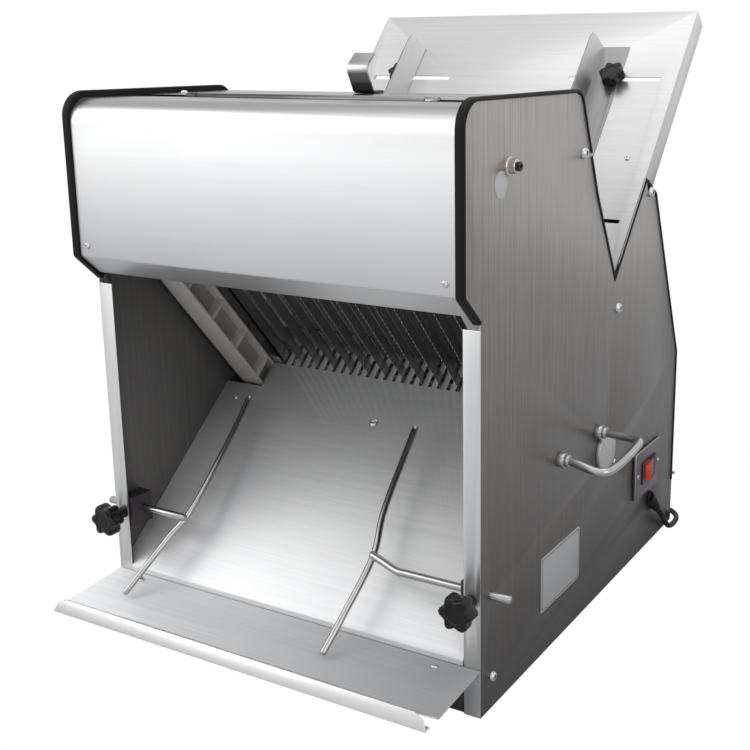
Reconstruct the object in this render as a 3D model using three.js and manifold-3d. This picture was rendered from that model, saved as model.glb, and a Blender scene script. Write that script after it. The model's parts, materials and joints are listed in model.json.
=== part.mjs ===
// Commercial bread slicer: inclined infeed plate, two opposed blade frames, sloping outfeed chute and tray.
// Millimetres, +Z up, front towards -Y, and the origin in the middle of the footprint on the bench.
import * as THREE from "three";
import { mergeVertices } from "three/addons/utils/BufferGeometryUtils.js";
import Module from "manifold-3d";

const wasm = await Module();
wasm.setup();

// Overall body
const bodyWidth = 457;
const bodyDepth = 537;
const rearTopHeight = 235;
const hoodReach = 29;
const hoodFootHeight = 385;
const hoodCreaseHeight = 412;
const hoodTopHeight = 575;
const hoodRound = 24;
const topDepth = 211;
const topRearRound = 18;
const notchHeight = 371;
const notchDepth = 312;
const slantKneeHeight = 468;
const slantKneeDepth = 258;
const earReach = 131;
const earRearReach = 99;
const earCornerReach = 10;
const earCornerDrop = 14;
const earRearHeight = 448;
const footHeight = 3;
const footInset = 30;
const footSize = 40;

// Sheets, gaps and joints
const sheet = 1.5;
const thinSheet = 1.2;
const plateThickness = 3;
const seat = 0.3;
const overrun = 5;
const sides = 20;
const fineSides = 24;
const mitreLimit = 0.5;

// Front flange, edge trim and inner frame plates
const flangeWidth = 18;
const flangeTop = 378;
const trimWidth = 8;
const trimStand = 2.2;
const trimLip = 4.5;
const trimShell = 1;
const frameInset = 14;
const frameTopInset = 13;
const frameRearTop = 320;

// Chute, the plane that the loaf slides out on
const chuteAngle = 40.9;
const chuteFrontDepth = -1;
const chuteFrontHeight = 59.3;
const floorThickness = 1.5;
const slotStart = 285;
const slotEnd = 329;
const slotWidth = 5;
const railNotchStart = 250;
const notchPlay = 2.5;
const chuteLip = 8;
const floorShoulder = 4.5;

// Blades and their two frames, in the chute's own directions: up the slope and square to it
const bladePitch = 12;
const bladeEdgeReach = 8;
const bladeThickness = 0.8;
const bladeWidth = 13;
const bladeSeat = 1.6;
const postWidth = 19.8;
const railWidth = 30;
const railDepth = 32;
const frontRailStart = 254;
const frameGap = 40;
const railBottom = -46;
const frameHeadroom = 62;
const barDepth = 22;
const barHeight = 20;
const barDrop = 14;
const barTopInset = 26;
const pocketWall = 3;
const pocketDepth = 12;
const pocketLength = 52;
const ribThickness = 4;
const forkDrop = 16;
const forkSlot = 8.6;
const clampOverlap = 15;
const clampDepth = 16;
const stroke = 12;

// Guide posts of the blade frames
const postStart = 262;
const postLength = 90;
const postBottom = -95;
const postReach = 6;
const postGap = 0.6;
const postChannel = 8;

// Crankshaft and drive
const crankUp = 300;
const crankDrop = 104;
const shaftRadius = 12;
const crankRadius = 30;
const crankThickness = 8;
const crankPlay = 3;
const crankPinRadius = 6;
const crankPinLength = 3.4;
const crankPinGap = 0.6;
const wristPinRadius = 4.5;
const rodThickness = 8;
const rodEndRadius = 11;
const rodWaist = 14;
const bearingGap = 11;
const bearingWidth = 25;
const bearingHeight = 46;
const bearingClearance = 0.3;
const beamFrontReach = 24;
const beamDepth = 26;
const beamBottom = 80;
const beamHeight = 28;
const beamWall = 2.5;
const pulleyRadius = 52;
const pulleyWidth = 18;
const pulleyGap = 26;
const pulleyGroove = 4;
const motorPulleyRadius = 22;
const beltThickness = 5;
const beltWidth = 9;
const motorRearReach = 97;
const motorHeight = 82;
const motorRadius = 54;
const motorLength = 150;
const motorGap = 18;
const motorShaftRadius = 8;
const motorFootWidth = 96;
const motorFootHeight = 6;
const motorFootInset = 15;
const motorBoxInset = 30;
const motorBoxHeight = 26;
const motorBoxLength = 60;
const motorBoxWidth = 50;
const mountWidth = 110;
const mountLength = 120;

// Hood, top cover, flap and its strap handle
const hoodRearDepth = 60;
const hoodRearDrop = 10;
const hoodReturn = 9;
const hoodSink = 5.5;
const coverSink = 4;
const coverGap = 3;
const coverRearInset = 7;
const coverDrop = 24;
const flapHalf = 136;
const flapGap = 0.8;
const hingeRadius = 4;
const hingePinRadius = 2.5;
const hingeEar = 14;
const hingeWeb = 12;
const strapWidth = 25;
const strapThickness = 3;
const strapPlace = 169;
const strapFoot = 18;
const strapKneeRise = 10;
const strapElbowRise = 26;
const strapTopRise = 39;
const strapElbowReach = 12;

// Rear cover
const rearCapDrop = 20;
const louvreLength = 57;
const louvreHeight = 4.5;
const louvrePitch = 13.5;
const louvreRows = 6;

// Infeed plate, the slope that the loaf slides in on
const infeedAngle = 48.3;
const infeedDepth = 317;
const infeedHeight = 374;
const infeedTop = 384;
const infeedWide = -35;
const infeedLow = -85;
const infeedTongue = -114;
const tonguePlay = 5;
const infeedFlange = 28;
const infeedLipDepth = 12;
const infeedSlotUp = 275;
const infeedSlotInner = 86;
const infeedSlotInset = 22.5;
const infeedSlotHalf = 3.3;
const eyeInset = 16.5;
const eyeLength = 21;
const eyeUp = 68.5;
const eyeHalf = 2.4;

// Loaf guides on the infeed plate
const guideLow = 30;
const guideTopReach = 50;
const guideHeight = 42;
const guideFoot = 36;
const guideSheet = 1.5;
const guideSlope = 10;
const guideCornerShares = [[0, 0], [0.6, 0.75], [1, 0.93], [2, 1]];
const rightGuidePlace = 118;
const leftGuidePlace = 141;
const rightKnobPlace = 29;
const leftKnobPlace = 18.5;
const guideKnobRadius = 16;
const guideKnobHeight = 14;
const guideStemRadius = 2.6;
const guideNutSize = 22;
const guideNutHeight = 5;

// Guide rods over the chute, with their cross shafts, clamps and star knobs
const guideRodRadius = 3.4;
const guideRodRise = 29;
const crossRadius = 4;
const crossDepth = 20;
const crossHeight = 121;
const crossRightReach = 19.5;
const crossLeftReach = 27.5;
const clampBlockWidth = 17;
const clampBlockDepth = 30;
const clampBlockHeight = 34;
const knobRadius = 17.8;
const knobThickness = 17;
const knobInset = 10.5;
const knobFaceReach = 32;
const knobLobes = 6;
const knobLobeShare = 0.124;
const knobEdgeShare = 0.16;
const knobStemRadius = 4;
const knobNeckRadius = 6.5;

// Rods over the chute: shares of the rails' inner spacing, and of the slots' distance up the slope
const rightRodShares = [[0.42, 0.76], [0.466, 0.4], [0.524, 0.24], [0.506, 0], [0.486, -0.135]];
const leftRodShares = [[-0.885, 0.76], [-0.86, 0.55], [-0.86, 0.21], [-0.9, 0.13], [-1, -0.135]];
const shaftStartShare = 0.76;
const shaftLapShare = 0.78;
const shaftKneeShare = 0.73;
const shaftDropShares = [[0.6, 0.222], [0.52, 0.236]];
const leftShaftShare = 0.855;

// Outfeed tray
const trayBackHeight = 53;
const trayFloorReach = 77;
const trayFloorFront = 47;
const trayLipReach = 93;
const trayLipHeight = 57.5;
const trayFaceReach = 98.5;
const trayFaceBottom = 44;
const trayHemReturn = 8;
const trayCornerCut = 16;
const trayCornerShare = 0.33;
const trayBackDrop = 12;

// Crumb drawer, base and front beam
const drawerInset = 23.5;
const drawerFrontLap = 4.8;
const drawerDepth = 330;
const drawerHeight = 34;
const drawerBottom = 5.7;
const drawerLip = 12;
const drawerLipHalf = 60;
const baseThickness = 2;
const baseRearGap = 6;
const runnerHeight = 12;
const frontBeamBottom = 42;
const frontBeamDepth = 22;
const frontBeamHeight = 10.6;

// Side handles, end cap, switch and mains lead
const handleFront = 170.5;
const handleRear = 270.5;
const handleHeight = 206;
const handleFrontSag = 6;
const handleRearSag = 1.5;
const handleStand = 53;
const handleRadius = 4.5;
const handleBend = 12;
const handleBendShare = 0.3;
const handleBoss = 8;
const handleBossLength = 12;
const capRadius = 24;
const capThickness = 4.5;
const capRound = 2;
const switchRearReach = 148;
const switchLength = 84;
const switchBottom = 81;
const switchHeight = 59;
const switchThickness = 4;
const bezelLength = 46;
const bezelHeight = 27;
const bezelStand = 1.5;
const bezelWall = 1.5;
const bezelFloor = 1.5;
const bezelDepth = 12;
const rockerLength = 30;
const rockerHeight = 19;
const rockerRise = 20;
const rockerTilt = 12.5;
const rockerUnder = 10;
const rockerDip = 2;
const rockerGap = 0.8;
const rockerPinRadius = 1.5;
const glandRearReach = 87.5;
const glandHeight = 64.5;
const glandRadius = 8;
const glandFlange = 9.4;
const glandFlangeThickness = 3;
const glandLength = 26;
const glandTip = 5;
const glandLean = 12;
const glandFall = 48.7;
const cordRadius = 3.5;
const cordSides = 8;
const cordLift = 0.1;
const coilX = 80;
const coilY = 621.3;
const coilTurns = 3;
const coilInnerRadius = 27.2;
const coilStep = 7.7;
const coilLayer = 7.7;
const coilClimbShare = 0.5;
const loopSteps = 24;
const loopSides = 6;
const plugNeckLength = 36;
const plugNeckRadius = 6;
const plugLength = 44;
const plugWidth = 30;
const plugThickness = 24;
const plugPinRadius = 2.4;
const plugPinLength = 19;
const plugPinSpacing = 19;

// Places worked out from the sizes above
const half = bodyWidth / 2;
const innerFace = half - sheet - seat - plateThickness;
const insideHalf = innerFace - seat;
const earRearDepth = bodyDepth - earRearReach;
const railInner = insideHalf - postWidth - postGap - railWidth;
const clampReach = railInner + clampOverlap;
const crankInner = railInner + crankPlay;
const bearingInner = crankInner - bearingGap - bearingWidth;
const pulleyInner = bearingInner - pulleyGap - pulleyWidth;
const motorStart = pulleyInner - motorGap - motorLength;
const motorDepthPlace = bodyDepth - motorRearReach;
const bladeCount = 2 * Math.floor((railInner + bladeEdgeReach) / bladePitch) + 1;
const railNotchHalf = railInner - notchPlay;
const tongueHalf = railInner - tonguePlay;
const coverHeight = hoodTopHeight - coverSink;
const coverStart = hoodRearDepth + coverGap;
const coverEnd = topDepth - coverRearInset;
const guideHigh = infeedSlotUp + guideTopReach;
const infeedSlotOuter = half - infeedSlotInset;
const eyeOuter = half - eyeInset;
const eyeInner = eyeOuter - eyeLength;
const crossRightEnd = half + crossRightReach;
const crossLeftEnd = half + crossLeftReach;
const knobPlace = half - knobInset;
const drawerHalf = half - drawerInset;
const drawerFrontHalf = drawerHalf + drawerFrontLap;
const switchDepth = bodyDepth - switchRearReach;
const rockerDepth = switchDepth + switchLength / 2;
const rockerCentreHeight = switchBottom + switchHeight / 2;
const glandDepth = bodyDepth - glandRearReach;
const degrees = Math.PI / 180;
const chuteTurn = chuteAngle * degrees;
const infeedTurn = infeedAngle * degrees;
const rearRailStart = frontRailStart + railDepth + frameGap;
const frameTopHeight = hoodTopHeight - frameHeadroom - chuteFrontHeight;
const railTop = (frameTopHeight - (rearRailStart + railDepth) * Math.sin(chuteTurn)) / Math.cos(chuteTurn);
const barTopReach = railTop - barTopInset;
const postTop = railTop + postReach;
const rodStart = crankInner + crankThickness + crankPinLength + crankPinGap;
const rodMiddle = rodStart + rodThickness / 2;
const hoodHalf = half - trimWidth - 2 * seat;
const footprintFront = -trayFaceReach;
const infeedTopDepth = infeedDepth + infeedTop * Math.cos(infeedTurn) + infeedFlange * Math.sin(infeedTurn);
const middleDepth = (footprintFront + infeedTopDepth) / 2;
const crankY = chuteFrontDepth + crankUp * Math.cos(chuteTurn) + crankDrop * Math.sin(chuteTurn);
const crankZ = chuteFrontHeight + crankUp * Math.sin(chuteTurn) - crankDrop * Math.cos(chuteTurn);
const beamFront = crankY - beamFrontReach;
const bezelBoxHalf = rockerLength / 2 + rockerGap + bezelWall;
const bezelBoxTall = rockerHeight / 2 + rockerGap + bezelWall;

// Solids from closed geometries, and back
function solid(geometry) {
  const bare = geometry.clone();
  bare.deleteAttribute("uv");
  bare.deleteAttribute("normal");
  const merged = mergeVertices(bare);
  const vertProperties = Float32Array.from(merged.getAttribute("position").array);
  const triVerts = Uint32Array.from(merged.getIndex().array);
  return new wasm.Manifold(new wasm.Mesh({ numProp: 3, vertProperties, triVerts }));
}

function geometryOf(body) {
  const mesh = body.getMesh();
  const geometry = new THREE.BufferGeometry();
  geometry.setAttribute("position", new THREE.BufferAttribute(Float32Array.from(mesh.vertProperties), 3));
  geometry.setIndex(new THREE.BufferAttribute(Uint32Array.from(mesh.triVerts), 1));
  geometry.computeVertexNormals();
  return geometry;
}

function joined(first, ...others) {
  let body = solid(first);
  for (const other of others) {
    body = body.add(solid(other));
  }
  return geometryOf(body);
}

function cut(first, ...others) {
  let body = solid(first);
  for (const other of others) {
    body = body.subtract(solid(other));
  }
  return geometryOf(body);
}

// Basic closed shapes
function box(x0, x1, y0, y1, z0, z1) {
  const geometry = new THREE.BoxGeometry(x1 - x0, y1 - y0, z1 - z0);
  return geometry.translate((x0 + x1) / 2, (y0 + y1) / 2, (z0 + z1) / 2);
}

function extruded(outline, depth) {
  const shape = new THREE.Shape(outline.map(([u, v]) => new THREE.Vector2(u, v)));
  return new THREE.ExtrudeGeometry(shape, { depth, bevelEnabled: false });
}

function alongX(outline, x0, x1) {
  const turn = new THREE.Matrix4().makeBasis(
    new THREE.Vector3(0, 1, 0), new THREE.Vector3(0, 0, 1), new THREE.Vector3(1, 0, 0));
  return extruded(outline, x1 - x0).applyMatrix4(turn).translate(x0, 0, 0);
}

function alongY(outline, y0, y1) {
  const turn = new THREE.Matrix4().makeBasis(
    new THREE.Vector3(1, 0, 0), new THREE.Vector3(0, 0, 1), new THREE.Vector3(0, -1, 0));
  return extruded(outline, y1 - y0).applyMatrix4(turn).translate(0, y1, 0);
}

function alongZ(outline, z0, z1) {
  return extruded(outline, z1 - z0).translate(0, 0, z0);
}

function rodX(radius, x0, x1, y, z, count = sides) {
  const geometry = new THREE.CylinderGeometry(radius, radius, x1 - x0, count);
  return geometry.rotateZ(-Math.PI / 2).translate((x0 + x1) / 2, y, z);
}

function coneX(startRadius, endRadius, x0, x1, count = sides) {
  const geometry = new THREE.CylinderGeometry(endRadius, startRadius, x1 - x0, count);
  return geometry.rotateZ(-Math.PI / 2).translate((x0 + x1) / 2, 0, 0);
}

function rodY(radius, y0, y1, x, z, count = sides) {
  const geometry = new THREE.CylinderGeometry(radius, radius, y1 - y0, count);
  return geometry.translate(x, (y0 + y1) / 2, z);
}

function rodZ(radius, z0, z1, x, y, count = sides) {
  const geometry = new THREE.CylinderGeometry(radius, radius, z1 - z0, count);
  return geometry.rotateX(Math.PI / 2).translate(x, y, (z0 + z1) / 2);
}

function mirrored(geometry) {
  const flipped = geometry.index ? geometry.toNonIndexed() : geometry.clone();
  const places = flipped.getAttribute("position");
  for (let corner = 0; corner < places.count; corner += 3) {
    const [x, y, z] = [places.getX(corner), places.getY(corner), places.getZ(corner)];
    places.setXYZ(corner, places.getX(corner + 1), places.getY(corner + 1), places.getZ(corner + 1));
    places.setXYZ(corner + 1, x, y, z);
  }
  flipped.scale(-1, 1, 1);
  flipped.computeVertexNormals();
  return flipped;
}

function circle(radius, count) {
  const points = [];
  for (let index = 0; index < count; index += 1) {
    const angle = (index / count) * 2 * Math.PI;
    points.push([radius * Math.cos(angle), radius * Math.sin(angle)]);
  }
  return points;
}

function arc(centreU, centreV, radius, from, to, steps) {
  const points = [];
  for (let index = 0; index <= steps; index += 1) {
    const angle = (from + ((to - from) * index) / steps) * degrees;
    points.push([centreU + radius * Math.cos(angle), centreV + radius * Math.sin(angle)]);
  }
  return points;
}

function offsetPath(points, distance) {
  return points.map((point, index) => {
    const before = points[Math.max(index - 1, 0)];
    const after = points[Math.min(index + 1, points.length - 1)];
    const a = new THREE.Vector2(point[0] - before[0], point[1] - before[1]).normalize();
    const b = new THREE.Vector2(after[0] - point[0], after[1] - point[1]).normalize();
    if (a.length() === 0) {
      a.copy(b);
    }
    if (b.length() === 0) {
      b.copy(a);
    }
    const normal = new THREE.Vector2(-a.y - b.y, a.x + b.x).normalize();
    const reach = distance / Math.max(normal.dot(new THREE.Vector2(-a.y, a.x)), mitreLimit);
    return [point[0] + normal.x * reach, point[1] + normal.y * reach];
  });
}

function band(points, left, right) {
  return [...offsetPath(points, left), ...offsetPath(points, -right).reverse()];
}

function bentSheet(points, thickness, x0, x1) {
  return alongX(band(points, 0, thickness), x0, x1);
}

function tubeAlong(points, radius, count, steps) {
  const corners = points.map((point) => new THREE.Vector3(...point));
  const path = new THREE.CatmullRomCurve3(corners, false, "centripetal");
  const shape = new THREE.Shape(circle(radius, count).map(([u, v]) => new THREE.Vector2(u, v)));
  return new THREE.ExtrudeGeometry(shape, { steps, bevelEnabled: false, extrudePath: path });
}

// The exported tree, and the two sloping groups that carry what lies along the chute and the infeed
const slicer = new THREE.Group();
const machine = new THREE.Group();
machine.position.set(0, -middleDepth, 0);
slicer.add(machine);
const chute = new THREE.Group();
chute.position.set(0, chuteFrontDepth, chuteFrontHeight);
chute.rotation.x = chuteTurn;
machine.add(chute);
const infeed = new THREE.Group();
infeed.position.set(0, infeedDepth, infeedHeight);
infeed.rotation.x = infeedTurn;
machine.add(infeed);

const finishes = {
  brushed: { color: 0x8a8784, roughness: 0.35, metalness: 0.9 },
  bright: { color: 0xd6d6d6, roughness: 0.28, metalness: 0.9 },
  dark: { color: 0x3c3a38, roughness: 0.5, metalness: 0.6 },
  rubber: { color: 0x1e1c1a, roughness: 0.7, metalness: 0 },
  plastic: { color: 0x141414, roughness: 0.3, metalness: 0 },
  cast: { color: 0x6f665e, roughness: 0.55, metalness: 0.7 },
  steel: { color: 0xb8b8b8, roughness: 0.25, metalness: 1 },
  red: { color: 0xd93a1c, roughness: 0.35, metalness: 0 },
  paint: { color: 0x4a5058, roughness: 0.5, metalness: 0.1 },
};

function add(name, geometry, finish, parent = machine) {
  const mesh = new THREE.Mesh(geometry, new THREE.MeshStandardMaterial(finishes[finish]));
  mesh.name = name;
  parent.add(mesh);
  return mesh;
}

function addPair(name, geometry, finish, parent = machine) {
  add(`${name}_right`, geometry, finish, parent);
  add(`${name}_left`, mirrored(geometry), finish, parent);
}

// Rounds a corner of an outline with a curve that starts and ends a reach away from it
function easedCorner(before, corner, after, reach, steps) {
  const point = new THREE.Vector2(...corner);
  const start = new THREE.Vector2(...before).sub(point).setLength(reach).add(point);
  const end = new THREE.Vector2(...after).sub(point).setLength(reach).add(point);
  const bend = new THREE.QuadraticBezierCurve(start, point, end).getPoints(steps);
  return bend.map((place) => [place.x, place.y]);
}

// Side outline of the body: hood edge first, from the chamfer's foot over the top to the rear slant
function hoodEdge() {
  const roundStart = [-hoodReach + hoodRound, hoodTopHeight - hoodRound];
  const rearRound = easedCorner([0, hoodTopHeight], [topDepth, hoodTopHeight],
    [slantKneeDepth, slantKneeHeight], topRearRound, 2);
  return [
    [0, hoodFootHeight],
    [-hoodReach, hoodCreaseHeight],
    ...arc(roundStart[0], roundStart[1], hoodRound, 180, 90, 8),
    ...rearRound,
  ];
}

function trimEdge() {
  const slantShare = 0.58;
  const end = [
    topDepth + (slantKneeDepth - topDepth) * slantShare,
    hoodTopHeight + (slantKneeHeight - hoodTopHeight) * slantShare,
  ];
  return [...hoodEdge(), end];
}

function infeedPoint(up, out) {
  return [
    infeedDepth + up * Math.cos(infeedTurn) - out * Math.sin(infeedTurn),
    infeedHeight + up * Math.sin(infeedTurn) + out * Math.cos(infeedTurn),
  ];
}

function sideOutline() {
  return [
    [bodyDepth, footHeight],
    [0, footHeight],
    ...hoodEdge(),
    [slantKneeDepth, slantKneeHeight],
    [notchDepth, notchHeight],
    infeedPoint(earReach, trimStand),
    infeedPoint(earReach - earCornerReach, -earCornerDrop),
    [earRearDepth, earRearHeight],
    [bodyDepth, rearTopHeight],
  ];
}

// Opening that the switch's bezel goes through
function switchHole(x0, x1) {
  return box(x0, x1, rockerDepth - bezelBoxHalf - seat, rockerDepth + bezelBoxHalf + seat,
    rockerCentreHeight - bezelBoxTall - seat, rockerCentreHeight + bezelBoxTall + seat);
}

function sidePanels() {
  const skin = alongX(sideOutline(), half - sheet, half);
  const flange = box(half - flangeWidth, half, 0, sheet, footHeight, flangeTop);
  const holes = [
    rodX(crossRadius + seat, half - sheet - overrun, half + overrun, crossDepth, crossHeight),
    rodY(knobStemRadius + seat, -overrun, sheet + overrun, knobPlace, crossHeight),
    rodX(capRadius / 2, half - sheet - overrun, half + overrun, crankY, crankZ),
    rodX(glandRadius + seat, half - sheet - overrun, half + overrun, glandDepth, glandHeight),
    switchHole(half - sheet - overrun, half + overrun),
  ];
  const shell = joined(skin, flange);
  add("side_panel_right", cut(shell, ...holes), "brushed");
  add("side_panel_left", mirrored(cut(shell, holes[0], holes[1])), "brushed");
}

function edgeTrims() {
  const edge = trimEdge();
  const strip = alongX(band(edge, trimStand, trimLip), half - trimWidth, half + trimShell);
  const groove = alongX(offsetPath(sideOutline(), seat), half - sheet - seat, half + seat);
  addPair("edge_trim", cut(strip, groove), "rubber");
}

function framePlates() {
  const top = hoodTopHeight - frameTopInset;
  const outline = [
    [frameInset, footHeight + seat],
    [frameInset, hoodFootHeight - seat],
    [frameInset - hoodReach, hoodCreaseHeight],
    [frameInset - hoodReach, top - hoodRound / 2],
    [frameInset - hoodReach + hoodRound / 2, top],
    [topDepth - frameInset, top],
    [slantKneeDepth - frameInset, slantKneeHeight],
    [notchDepth - 2 * frameInset, frameRearTop + frameInset],
    [notchDepth, frameRearTop],
    [earRearDepth - frameInset, frameRearTop],
    [bodyDepth - 2 * frameInset, rearTopHeight],
    [bodyDepth - 2 * frameInset, footHeight + seat],
  ];
  const plate = alongX(outline, innerFace, innerFace + plateThickness);
  const hole = rodX(crossRadius + seat, innerFace - overrun, half, crossDepth, crossHeight);
  const capHole = rodX(capRadius / 2, innerFace - overrun, half, crankY, crankZ);
  const glandHole = rodX(glandRadius + seat, innerFace - overrun, half, glandDepth, glandHeight);
  const rockerHole = switchHole(innerFace - overrun, half);
  add("frame_plate_right", cut(plate, hole, capHole, glandHole, rockerHole), "dark");
  add("frame_plate_left", mirrored(cut(plate, hole)), "dark");
}

function hoodCover() {
  const roof = hoodTopHeight - hoodSink;
  const path = [
    [hoodReturn, hoodFootHeight + hoodSink + hoodReturn],
    [-hoodSink, hoodFootHeight + hoodSink],
    [-hoodReach, hoodCreaseHeight],
    ...arc(-hoodReach + hoodRound, roof - hoodRound, hoodRound, 180, 90, 8),
    [hoodRearDepth, roof],
    [hoodRearDepth, roof - hoodRearDrop],
  ];
  add("hood_cover", bentSheet(path, thinSheet, -hoodHalf, hoodHalf), "bright");
}

function topCover() {
  const drop = [
    [coverStart + hingeRadius + sheet, coverHeight],
    [coverEnd, coverHeight],
    [coverEnd, coverHeight - coverDrop],
  ];
  const strip = bentSheet(drop, sheet, flapHalf + flapGap, hoodHalf);
  const ear = rodX(hingeRadius, flapHalf + flapGap, flapHalf + hingeEar, coverStart + hingeRadius,
    coverHeight - sheet);
  const web = box(flapHalf + flapGap, flapHalf + hingeEar, coverStart + hingeRadius,
    coverStart + hingeWeb, coverHeight - sheet, coverHeight);
  const bore = rodX(hingePinRadius + seat, 0, half, coverStart + hingeRadius, coverHeight - sheet);
  addPair("top_strip", cut(joined(strip, ear, web), bore), "bright");
}

function holdDownFlap() {
  const path = [
    [coverStart + hingeRadius, coverHeight],
    [coverEnd, coverHeight],
    [coverEnd, coverHeight - coverDrop],
  ];
  const skin = bentSheet(path, sheet, -flapHalf, flapHalf);
  const knuckle = rodX(hingeRadius, -flapHalf, flapHalf, coverStart + hingeRadius, coverHeight - sheet);
  const bore = rodX(hingePinRadius + seat, -half, half, coverStart + hingeRadius, coverHeight - sheet);
  add("hold_down_flap", cut(joined(skin, knuckle), bore), "bright");
  const pin = rodX(hingePinRadius, -flapHalf - hingeEar, flapHalf + hingeEar, coverStart + hingeRadius,
    coverHeight - sheet);
  add("flap_hinge_pin", pin, "steel");
}

function strapHandle() {
  const base = coverHeight + seat;
  const path = [
    [strapPlace + strapFoot, base + strapThickness],
    [strapPlace, base + strapThickness],
    [strapPlace - strapThickness, base + strapKneeRise],
    [strapPlace - strapElbowReach, base + strapElbowRise],
    [strapPlace + strapThickness, base + strapTopRise],
  ];
  add("strap_handle", alongX(band(path, 0, -strapThickness), -strapWidth / 2, strapWidth / 2), "bright");
}

function rearCover() {
  const path = [
    [bodyDepth - sheet - seat, footHeight + seat],
    [bodyDepth - sheet - seat, rearTopHeight],
    [earRearDepth + sheet, earRearHeight - rearCapDrop],
    [earRearDepth - frameInset, earRearHeight - rearCapDrop],
  ];
  const skin = bentSheet(path, thinSheet, -half + sheet + seat, half - sheet - seat);
  const slots = [];
  for (let row = 0; row < louvreRows; row += 1) {
    const z = motorHeight + (row - (louvreRows - 1) / 2) * louvrePitch;
    for (const side of [-1, 1]) {
      const x = side * louvreLength;
      slots.push(box(x - louvreLength / 2, x + louvreLength / 2, bodyDepth - overrun, bodyDepth + overrun, z,
        z + louvreHeight));
    }
  }
  add("rear_cover", cut(skin, ...slots), "brushed");
}

// Infeed plate in its own sloping directions: x across, y up the slope, z off the plate
function infeedPlate() {
  const wide = half - sheet - 2 * seat;
  const outline = [
    [-wide, infeedTop], [-wide, infeedWide], [-insideHalf, infeedWide], [-insideHalf, infeedLow],
    [-tongueHalf, infeedLow], [-tongueHalf, infeedTongue], [tongueHalf, infeedTongue],
    [tongueHalf, infeedLow], [insideHalf, infeedLow], [insideHalf, infeedWide], [wide, infeedWide],
    [wide, infeedTop],
  ];
  const skin = alongZ(outline, -sheet, 0);
  const right = box(wide - sheet, wide, infeedWide, infeedTop, -infeedFlange, 0);
  const left = box(-wide, -wide + sheet, infeedWide, infeedTop, -infeedFlange, 0);
  const lip = box(-wide, wide, infeedTop - sheet, infeedTop, -infeedLipDepth, 0);
  const cuts = [];
  for (const side of [-1, 1]) {
    const slot = box(infeedSlotInner, infeedSlotOuter, infeedSlotUp - infeedSlotHalf,
      infeedSlotUp + infeedSlotHalf, -sheet - overrun, overrun);
    const eye = box(eyeInner, eyeOuter, eyeUp - eyeHalf, eyeUp + eyeHalf, -sheet - overrun, overrun);
    cuts.push(side > 0 ? slot : mirrored(slot));
    cuts.push(side > 0 ? eye : mirrored(eye));
  }
  add("infeed_plate", cut(joined(skin, right, left, lip), ...cuts), "bright", infeed);
}

function loafGuide(side, place, knobShift) {
  const foot = box(place, place + guideFoot, guideLow, guideHigh, seat, seat + guideSheet);
  const corner = guideCornerShares.map(([slopeShare, heightShare]) =>
    [guideHigh - guideSlope * slopeShare, seat + guideHeight * heightShare]);
  const outline = [[guideLow, seat], ...corner, [guideLow + guideSlope, seat + guideHeight]];
  const face = alongX(outline, place, place + guideSheet);
  const hole = rodZ(guideStemRadius + seat, -overrun, overrun, place + knobShift, infeedSlotUp);
  const guide = cut(joined(foot, face), hole);
  const name = side > 0 ? "right" : "left";
  add(`loaf_guide_${name}`, side > 0 ? guide : mirrored(guide), "bright", infeed);
  const x = place + knobShift;
  const top = guideSheet + 2 * seat;
  const knob = joined(
    lobedKnob(guideKnobRadius, guideKnobHeight).translate(x, infeedSlotUp, top),
    rodZ(guideStemRadius, -guideNutHeight - sheet - seat, top + sheet, x, infeedSlotUp));
  add(`guide_knob_${name}`, side > 0 ? knob : mirrored(knob), "plastic", infeed);
  const nut = cut(
    box(x - guideNutSize / 2, x + guideNutSize / 2, infeedSlotUp - guideNutSize / 2,
      infeedSlotUp + guideNutSize / 2, -sheet - seat - guideNutHeight, -sheet - seat),
    rodZ(guideStemRadius + seat, -guideNutHeight - infeedFlange, 0, x, infeedSlotUp));
  add(`guide_nut_${name}`, side > 0 ? nut : mirrored(nut), "steel", infeed);
}

// A star knob standing on z = 0
function lobedKnob(radius, height) {
  const points = [];
  const steps = knobLobes * 5;
  for (let index = 0; index < steps; index += 1) {
    const angle = (index / steps) * 2 * Math.PI;
    const swell = Math.cos(angle * knobLobes);
    const reach = radius * (1 - knobLobeShare * (1 - swell));
    points.push([reach * Math.cos(angle), reach * Math.sin(angle)]);
  }
  const shape = new THREE.Shape(points.map(([u, v]) => new THREE.Vector2(u, v)));
  const edge = height * knobEdgeShare;
  return new THREE.ExtrudeGeometry(shape, {
    depth: height - 2 * edge, bevelEnabled: true, bevelThickness: edge, bevelSize: edge,
    bevelOffset: -edge, bevelSegments: 1,
  }).translate(0, 0, edge);
}

function starKnobs() {
  const body = lobedKnob(knobRadius, knobThickness).rotateX(Math.PI / 2);
  body.translate(knobPlace, -knobFaceReach + knobThickness, crossHeight);
  const neck = rodY(knobNeckRadius, -knobFaceReach + knobThickness - sheet, -seat, knobPlace, crossHeight);
  const stem = rodY(knobStemRadius, -sheet, crossDepth - crossRadius - seat, knobPlace, crossHeight);
  addPair("star_knob", joined(body, neck, stem), "plastic");
  const block = box(insideHalf - clampBlockWidth, insideHalf, sheet + seat, sheet + seat + clampBlockDepth,
    crossHeight - clampBlockHeight / 2, crossHeight + clampBlockHeight / 2);
  const bore = rodX(crossRadius + seat, 0, half, crossDepth, crossHeight);
  const thread = rodY(knobStemRadius + seat, 0, crossDepth, knobPlace, crossHeight);
  addPair("clamp_block", cut(block, bore, thread), "steel");
}

// Rods over the chute, each bent from one bar and welded to its cross shaft
function chutePoint(x, up, out) {
  return [
    x,
    chuteFrontDepth + up * Math.cos(chuteTurn) - out * Math.sin(chuteTurn),
    chuteFrontHeight + up * Math.sin(chuteTurn) + out * Math.cos(chuteTurn),
  ];
}

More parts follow.
